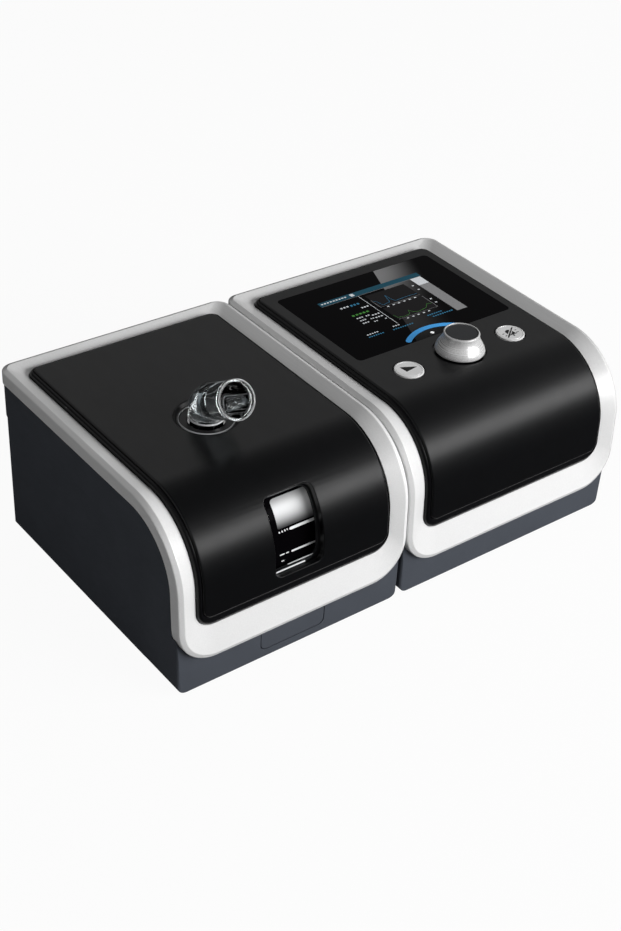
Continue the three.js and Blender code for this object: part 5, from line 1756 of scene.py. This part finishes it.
    def build_screen(self) -> None:
        """The black glass, the lamp and what the display shows."""
        m = self.module
        half = m.width / 2 - m.rim - self.glass_margin
        radius = self.glass_radius
        glass = Form.prism(
            (self.glass_shift - half, self.glass_shift + half), (-self.glass_front, -self.glass_back),
            (-self.glass_wall, 0), Axis.Z, (radius,) * 4, 10,
        )
        led = (self.shift, self.led_distance - self.knob_back, 0)
        glass.cut(
            self.arc(0.15, -self.glass_wall - OVERRUN, OVERRUN),
            Form.rod(self.led_radius + 0.15, (-self.glass_wall - OVERRUN, OVERRUN), led, steps=32),
        )
        glass.round_edges(0.25, 2, lambda edge: all(abs(v.co.z) < 0.01 for v in edge.verts))
        self._up(glass).piece(
            "screen_pane", "housing", "screen_black", self.finishes.of("glass"), m, ["screen_glass"]
        )
        arc = self.arc(0, -self.glass_wall, 0)
        arc.round_edges(0.2, 2, lambda edge: all(abs(v.co.z) < 0.01 for v in edge.verts))
        self._up(arc).piece(
            "lamp_arc", "housing", "light_blue",
            self.finishes.extra(Lit("lamp_blue", (0.05, 0.28, 0.62), 0.5)), m, ["light_arc"],
        )
        lamp = Form.turned([
            (0, -self.glass_wall), (self.led_radius, -self.glass_wall), (self.led_radius, -0.3),
            (self.led_radius * 0.8, -0.06), (self.led_radius * 0.4, 0), (0, 0),
        ], led, steps=32)
        self._up(lamp).piece(
            "status_lamp", "housing", "light_white",
            self.finishes.extra(Lit("lamp_white", (0.95, 0.96, 0.97), 0.6)), m, ["status_led"],
        )
        self._show()

    def _up(self, form: Form) -> Form:
        """Lifts a form that was made about the crest to it."""
        return form.move((0, 0, SKIN.crest))

    def _show(self) -> None:
        """The bars, dashes and curves of the display as thin prints on the glass."""
        level = {"dusk": 0.008, "grey": 0.012, "teal": 0.012}
        for color, lit in self.display.colors.items():
            top = level.get(color, 0.02)
            shapes = Form()
            for mark in self.display.bars() + self.display.dashes():
                if mark.color == color:
                    shapes.gather(Form.prism(mark.x, mark.y, (0.002, top)))
            for trace in self.display.traces():
                if trace.color == color:
                    shapes.gather(self._curve(trace, top))
            self._up(shapes).move((0, self.display.shift, 0)).piece(
                f"display_{color}", "housing", "light_white", self.finishes.extra(lit), self.module
            )

    def _curve(self, trace: Trace, top: float) -> Form:
        """A display curve as a flat ribbon."""
        form = Form()
        for (x0, y0), (x1, y1) in zip(trace.points, trace.points[1:]):
            length = math.hypot(x1 - x0, y1 - y0)
            half = trace.width / 2
            bar = Form.prism((-half, length + half), (-half, half), (0.002, top))
            form.gather(bar.turn(math.atan2(y1 - y0, x1 - x0)).move((x0, y0, 0)))
        return form

    def build_knob(self) -> None:
        """The silver knob with its flared skirt, bright ring and flat black cap."""
        low, neck = 0.5, self.knob_top - 0.5
        tall = self.knob_height - low
        base = self.knob_radius - 0.5
        skirt = []
        for step in range(15):
            share = 0.06 + 0.78 * step / 14
            wide = 1 - smooth_share(0.05, 0.86, share)
            skirt.append((neck + (self.knob_radius - 0.1 - neck) * wide, low + tall * share))
        cap = self.knob_cap + 0.3
        profile = [
            (3.3, low), (base - 0.4, low), (base + 0.1, low + 0.15), *skirt,
            (neck + 0.05, low + tall * 0.9), (neck + 0.02, self.knob_height - 0.5),
            (neck - 0.25, self.knob_height - 0.14), (neck - 0.6, self.knob_height),
            (cap + 0.15, self.knob_height - 0.02), (cap, self.knob_height - 0.2),
            (cap, self.knob_height - 1.9), (3.3, self.knob_height - 1.9), (3.3, low),
        ]
        axis = self.knob_centre(SKIN.crest)
        centre = ((axis[0] + self.module.centre) * METRE, (axis[1] + self.module.back) * METRE)
        Form.turned(profile, axis, steps=128).piece(
            "knob_skirt", "knob", "silver",
            self.finishes.extra(Turned("knob_metal", (0.7, 0.7, 0.7), centre, 0.28, 0.5)), self.module,
            ["knob"], sharp=45,
        )
        top, wall = self.knob_height - 0.4, 1.2
        Form.turned([
            (0, top - wall), (self.knob_cap, top - wall), (self.knob_cap, top - 0.25),
            (self.knob_cap - 0.25, top), (self.knob_cap - 1, top - 0.03), (0, top - 0.05),
        ], axis, steps=96).piece(
            "knob_face", "knob", "panel_black",
            self.finishes.extra(Moulded("cap_black", (0.02, 0.021, 0.023), 0.42, 0.00002, 3000.0)),
            self.module, ["knob_cap"], sharp=50,
        )

    def build_buttons(self) -> None:
        """The two round push buttons and their plain symbols."""
        lift, radius = self.button_lift, self.button_radius
        for side, name in ((-1, "ramp_button"), (1, "mute_button")):
            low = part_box(name)[0].z / METRE - SKIN.crest
            profile = [
                (0, low), (2.4, low), (2.4, -4.5), (radius + 1, -4.5), (radius + 1, -3.5),
                (radius, -3.5), (radius, lift - 0.4), (radius - 0.12, lift - 0.12),
                (radius - 0.4, lift), (radius - 0.95, lift), (radius - 1.05, lift - 0.16),
                (radius - 1.3, lift - 0.16), (radius - 1.4, lift - 0.02),
                (radius * 0.5, lift - 0.06), (0, lift - 0.1),
            ]
            form = Form.turned(profile, self.button_centre(side, SKIN.crest), steps=96)
            form.piece(
                f"{name}_disc", name, "button_silver", self.finishes.of("button"), self.module, [name],
                sharp=40,
            )
        ink = self.finishes.extra(Moulded("symbol_black", (0.008, 0.008, 0.008), 0.5, 0.00001, 2000.0))
        level = SKIN.crest + lift - 0.16
        self._ramp_symbol().move(self.button_centre(-1, level)).piece(
            "ramp_symbol", "ramp_button", "dark_plastic", ink, self.module
        )
        self._bell_symbol().move(self.button_centre(1, level)).piece(
            "mute_symbol", "mute_button", "dark_plastic", ink, self.module
        )

    @staticmethod
    def _ramp_symbol() -> Form:
        """A black wedge that points to the right."""
        form = Form()
        verts = [form.mesh.verts.new(spot) for spot in ((-3.4, 4.4, 0), (-2.8, -1.5, 0), (5.9, -0.2, 0))]
        face = form.mesh.faces.new(verts)
        return form.push(face, (0, 0, 0.14))

    @staticmethod
    def _bell_symbol() -> Form:
        """A small bell, rays beside it and a stroke across."""
        bell = Form.turned([(0, 0), (2.0, 0), (2.0, 0.14), (0, 0.14)], (0, 0.6, 0), steps=28)
        skirt = Form.prism((-2.0, 2.0), (-1.6, 0.6), (0, 0.14))
        brim = Form.prism((-2.9, 2.9), (-2.1, -1.5), (0, 0.14), Axis.Z, (0.25,) * 4, 3)
        clapper = Form.rod(0.55, (0, 0.14), (0, -2.8, 0), steps=16)
        stroke = Form.prism((-5.2, 5.2), (-0.32, 0.32), (0, 0.14)).turn(math.radians(38))
        rays = [
            Form.prism((3.4, 4.6), (-0.22, 0.22), (0, 0.14)).turn(math.radians(angle))
            for angle in (-20, 8, 172, 200)
        ]
        bell.add(skirt).cut(Form.prism((-6, 6), (-0.8, 0.8), (-1, 1)).turn(math.radians(38)))
        bell.gather(brim, clapper, stroke, *rays)
        bmesh.ops.scale(bell.mesh, vec=(1.25, 1.25, 1), verts=bell.mesh.verts)
        return bell

    def build(self) -> None:
        """Builds the whole main module."""
        self.build_base()
        self.build_top()
        self.build_screen()
        self.build_knob()
        self.build_buttons()


@dataclass
class PressedSpring:
    """A coil spring under a part that is pressed."""

    finishes: Finishes
    module: Module
    node: str
    joint: str
    axis: int
    fixed_high: bool
    travel: float

    def build(self) -> None:
        """Copies the spring's shape."""
        low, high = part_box(self.node)
        anchor = (low + high) / 2
        anchor[self.axis] = (high if self.fixed_high else low)[self.axis]
        way = Vector((0, 0, 0))
        way[self.axis] = 1
        coil = Form.copied(self.node).move((-self.module.centre, -self.module.back, 0)).piece(
            f"{self.node}_coil", "housing", "steel", self.finishes.of("steel"), self.module,
            [self.node], sharp=50,
        )
        keep = 1 - self.travel * METRE / (high - low)[self.axis]
        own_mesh(coil)


@dataclass
class KeptNodes:
    """The CAD nodes that stay, with their finishes."""

    finishes: Finishes
    looks: dict[str, tuple[str, ...]] = field(default_factory=lambda: {
        "shadow": ("hum_bottom", "main_bottom", "lid_liner", "main_carrier", "encoder", "ramp_switch",
                   "mute_switch", "blower_case", "blower_cover", "air_duct", "power_socket"),
        "rubber": ("lid_seal", "elbow_ring", "tank_seal", "port_seal"),
        "clear": ("tank_body", "tank_cover", "tank_inlet"),
        "steel": ("hinge_pin_left", "hinge_pin_right", "tank_plate", "heater_plate", "encoder_shaft",
                  "blower_motor"),
        "slate": ("filter_cover",),
        "liquid_display": ("lcd",),
        "board": ("control_board", "main_board"),
        "white_plastic": ("impeller",),
        "foam": ("filter",),
        "card": ("memory_card",),
    })

    def build(self) -> None:
        """Gives each kept node its material."""
        for finish, names in self.looks.items():
            for name in names:
                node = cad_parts[name]
                node.data.materials.clear()
                node.data.materials.append(self.finishes.of(finish))


# The studio


@dataclass(frozen=True)
class View:
    """The camera, at the photograph's viewing angle."""

    place: Triple = (-0.48039, -0.58786, 0.56856)
    azimuth: float = math.radians(-42.26)
    elevation: float = math.radians(36.50)
    roll: float = math.radians(5.58)
    focal: float = 1540.0
    image: Pair = (621.0, 931.0)
    middle: Pair = (377.0, 509.0)
    sensor: float = 36.0

    def build(self) -> None:
        """Creates the camera and makes it the scene's own."""
        lens = bpy.data.cameras.new("view")
        tall = self.image[1]
        lens.sensor_fit = "AUTO"
        lens.sensor_width = self.sensor
        lens.lens = self.focal * self.sensor / tall
        lens.shift_x = (self.image[0] / 2 - self.middle[0]) / tall
        lens.shift_y = (self.middle[1] - tall / 2) / tall
        lens.clip_start, lens.clip_end = 0.01, 50.0
        camera = bpy.data.objects.new("view", lens)
        level, tilt = self.azimuth, self.elevation
        back = Vector((
            math.sin(level) * math.cos(tilt), -math.cos(level) * math.cos(tilt), math.sin(tilt)
        ))
        right = (-back).cross(Vector((0, 0, 1))).normalized()
        up = right.cross(-back)
        turn = math.cos(self.roll), math.sin(self.roll)
        side = right * turn[0] + up * turn[1]
        top = up * turn[0] - right * turn[1]
        matrix = Matrix((side, top, back)).transposed().to_4x4()
        matrix.translation = Vector(self.place)
        camera.matrix_world = matrix
        bpy.context.scene.collection.objects.link(camera)
        bpy.context.scene.camera = camera


@dataclass(frozen=True)
class Softbox:
    """A flat soft lamp."""

    name: str
    place: Triple
    aim: Triple
    size: Pair
    power: float
    mirrored: bool = True

    def build(self) -> None:
        """Adds the lamp, turned to what it lights, and seen in shiny faces if it is mirrored."""
        lamp = bpy.data.lights.new(self.name, "AREA")
        lamp.shape, lamp.size, lamp.size_y = "RECTANGLE", self.size[0], self.size[1]
        lamp.energy = self.power
        thing = bpy.data.objects.new(self.name, lamp)
        way = Vector(self.aim) - Vector(self.place)
        matrix = way.to_track_quat("-Z", "Y").to_matrix().to_4x4()
        matrix.translation = Vector(self.place)
        thing.matrix_world = matrix
        thing.visible_glossy = self.mirrored
        bpy.context.scene.collection.objects.link(thing)


@dataclass(frozen=True)
class Studio:
    """White floor, white surroundings and soft lamps."""

    lamps: tuple[Softbox, ...] = (
        Softbox("key", (0.95, -1.5, 0.64), (0, -0.05, 0.05), (1.6, 0.7), 50.0, False),
        Softbox("strip", (0.95, -1.4, 0.82), (0, -0.05, 0.05), (1.9, 0.56), 13.0),
        Softbox("fill", (-1.8, -0.3, 0.6), (0, -0.05, 0.05), (1.4, 1.0), 3.7, False),
    )
    floor_size: float = 4.0

    def build_floor(self) -> None:
        """A pale floor that keeps the object's soft shadow."""
        form = Form()
        bmesh.ops.create_grid(form.mesh, x_segments=1, y_segments=1, size=self.floor_size)
        plain = bpy.data.meshes.new("floor")
        form.mesh.to_mesh(plain)
        form.mesh.free()
        s = Shade("floor_white")
        tone = s.noise(3.0, (1, 1, 1), 2.0)
        shader = s.node("ShaderNodeBsdfDiffuse", {}, {"Color": s.blend(tone, (0.56,) * 3, (0.6,) * 3)})
        path = s.node("ShaderNodeLightPath")
        seen = Value(s, path.outputs["Is Camera Ray"])
        through = Value(s, path.outputs["Is Transmission Ray"])
        mirrored = Value(s, path.outputs["Is Glossy Ray"])
        glow = s.node("ShaderNodeEmission", {}, {
            "Color": s.blend(mirrored.most(through), (1.0, 1.0, 1.0), (0.03, 0.03, 0.03)),
            "Strength": 1.0,
        })
        share = (seen * 0.95).most(mirrored * 0.98).most(through * 0.95)
        mix = s.node(
            "ShaderNodeMixShader", {}, {0: share, 1: shader.outputs[0], 2: glow.outputs[0]}
        )
        s.tree.links.new(mix.outputs[0], s.output.inputs["Surface"])
        plain.materials.append(s.material)
        floor = bpy.data.objects.new("floor", plain)
        bpy.context.scene.collection.objects.link(floor)

    def build_world(self) -> None:
        """White to the camera and a plain pale light for everything else."""
        world = bpy.data.worlds.new("surroundings")
        world.use_nodes = True
        tree = world.node_tree
        tree.nodes.clear()
        path = tree.nodes.new("ShaderNodeLightPath")
        where = tree.nodes.new("ShaderNodeTexCoord")
        apart = tree.nodes.new("ShaderNodeSeparateXYZ")
        tree.links.new(where.outputs["Generated"], apart.inputs[0])
        ramp = tree.nodes.new("ShaderNodeValToRGB")
        tree.links.new(apart.outputs["Z"], ramp.inputs[0])
        stops = ((0.0, 0.07), (0.35, 0.08), (0.44, 0.46), (0.66, 0.46), (0.76, 0.05), (1.0, 0.05))
        while len(ramp.color_ramp.elements) < len(stops):
            ramp.color_ramp.elements.new(0.5)
        for element, (position, grey) in zip(ramp.color_ramp.elements, stops):
            element.position, element.color = position, (grey, grey, grey, 1)
        seen = tree.nodes.new("ShaderNodeMix")
        seen.data_type = "RGBA"
        seen.inputs[7].default_value = (1, 1, 1, 1)
        tree.links.new(path.outputs["Is Camera Ray"], seen.inputs[0])
        tree.links.new(ramp.outputs[0], seen.inputs[6])
        light = tree.nodes.new("ShaderNodeBackground")
        output = tree.nodes.new("ShaderNodeOutputWorld")
        tree.links.new(seen.outputs[2], light.inputs["Color"])
        tree.links.new(light.outputs[0], output.inputs["Surface"])
        bpy.context.scene.world = world

    def build(self) -> None:
        """Builds floor, surroundings and lamps."""
        self.build_floor()
        self.build_world()
        for lamp in self.lamps:
            lamp.build()
        bpy.context.scene.view_settings.view_transform = "Standard"


def main() -> None:
    """Builds the scene in order."""
    logging.basicConfig(level=logging.INFO, format="%(name)s: %(message)s")
    View().build()
    log.info("camera in place")
    finishes = Finishes(Palette())
    humidifier = Module.around("lid_frame", 11.7, -1, 20.5)
    main_unit = Module.around("main_frame", 13.0, 1, 4.5)
    for part in (
        HumidifierLook(finishes, humidifier), MainLook(finishes, main_unit), KeptNodes(finishes),
        PressedSpring(finishes, humidifier, "latch_spring", "latch_press", 1, True, 2.4),
        PressedSpring(finishes, humidifier, "heater_spring", "heater_plate_press", 2, False, 1.5),
        Studio(),
    ):
        part.build()
        log.info("%s built", type(part).__name__)


if __name__ == "__main__":
    main()
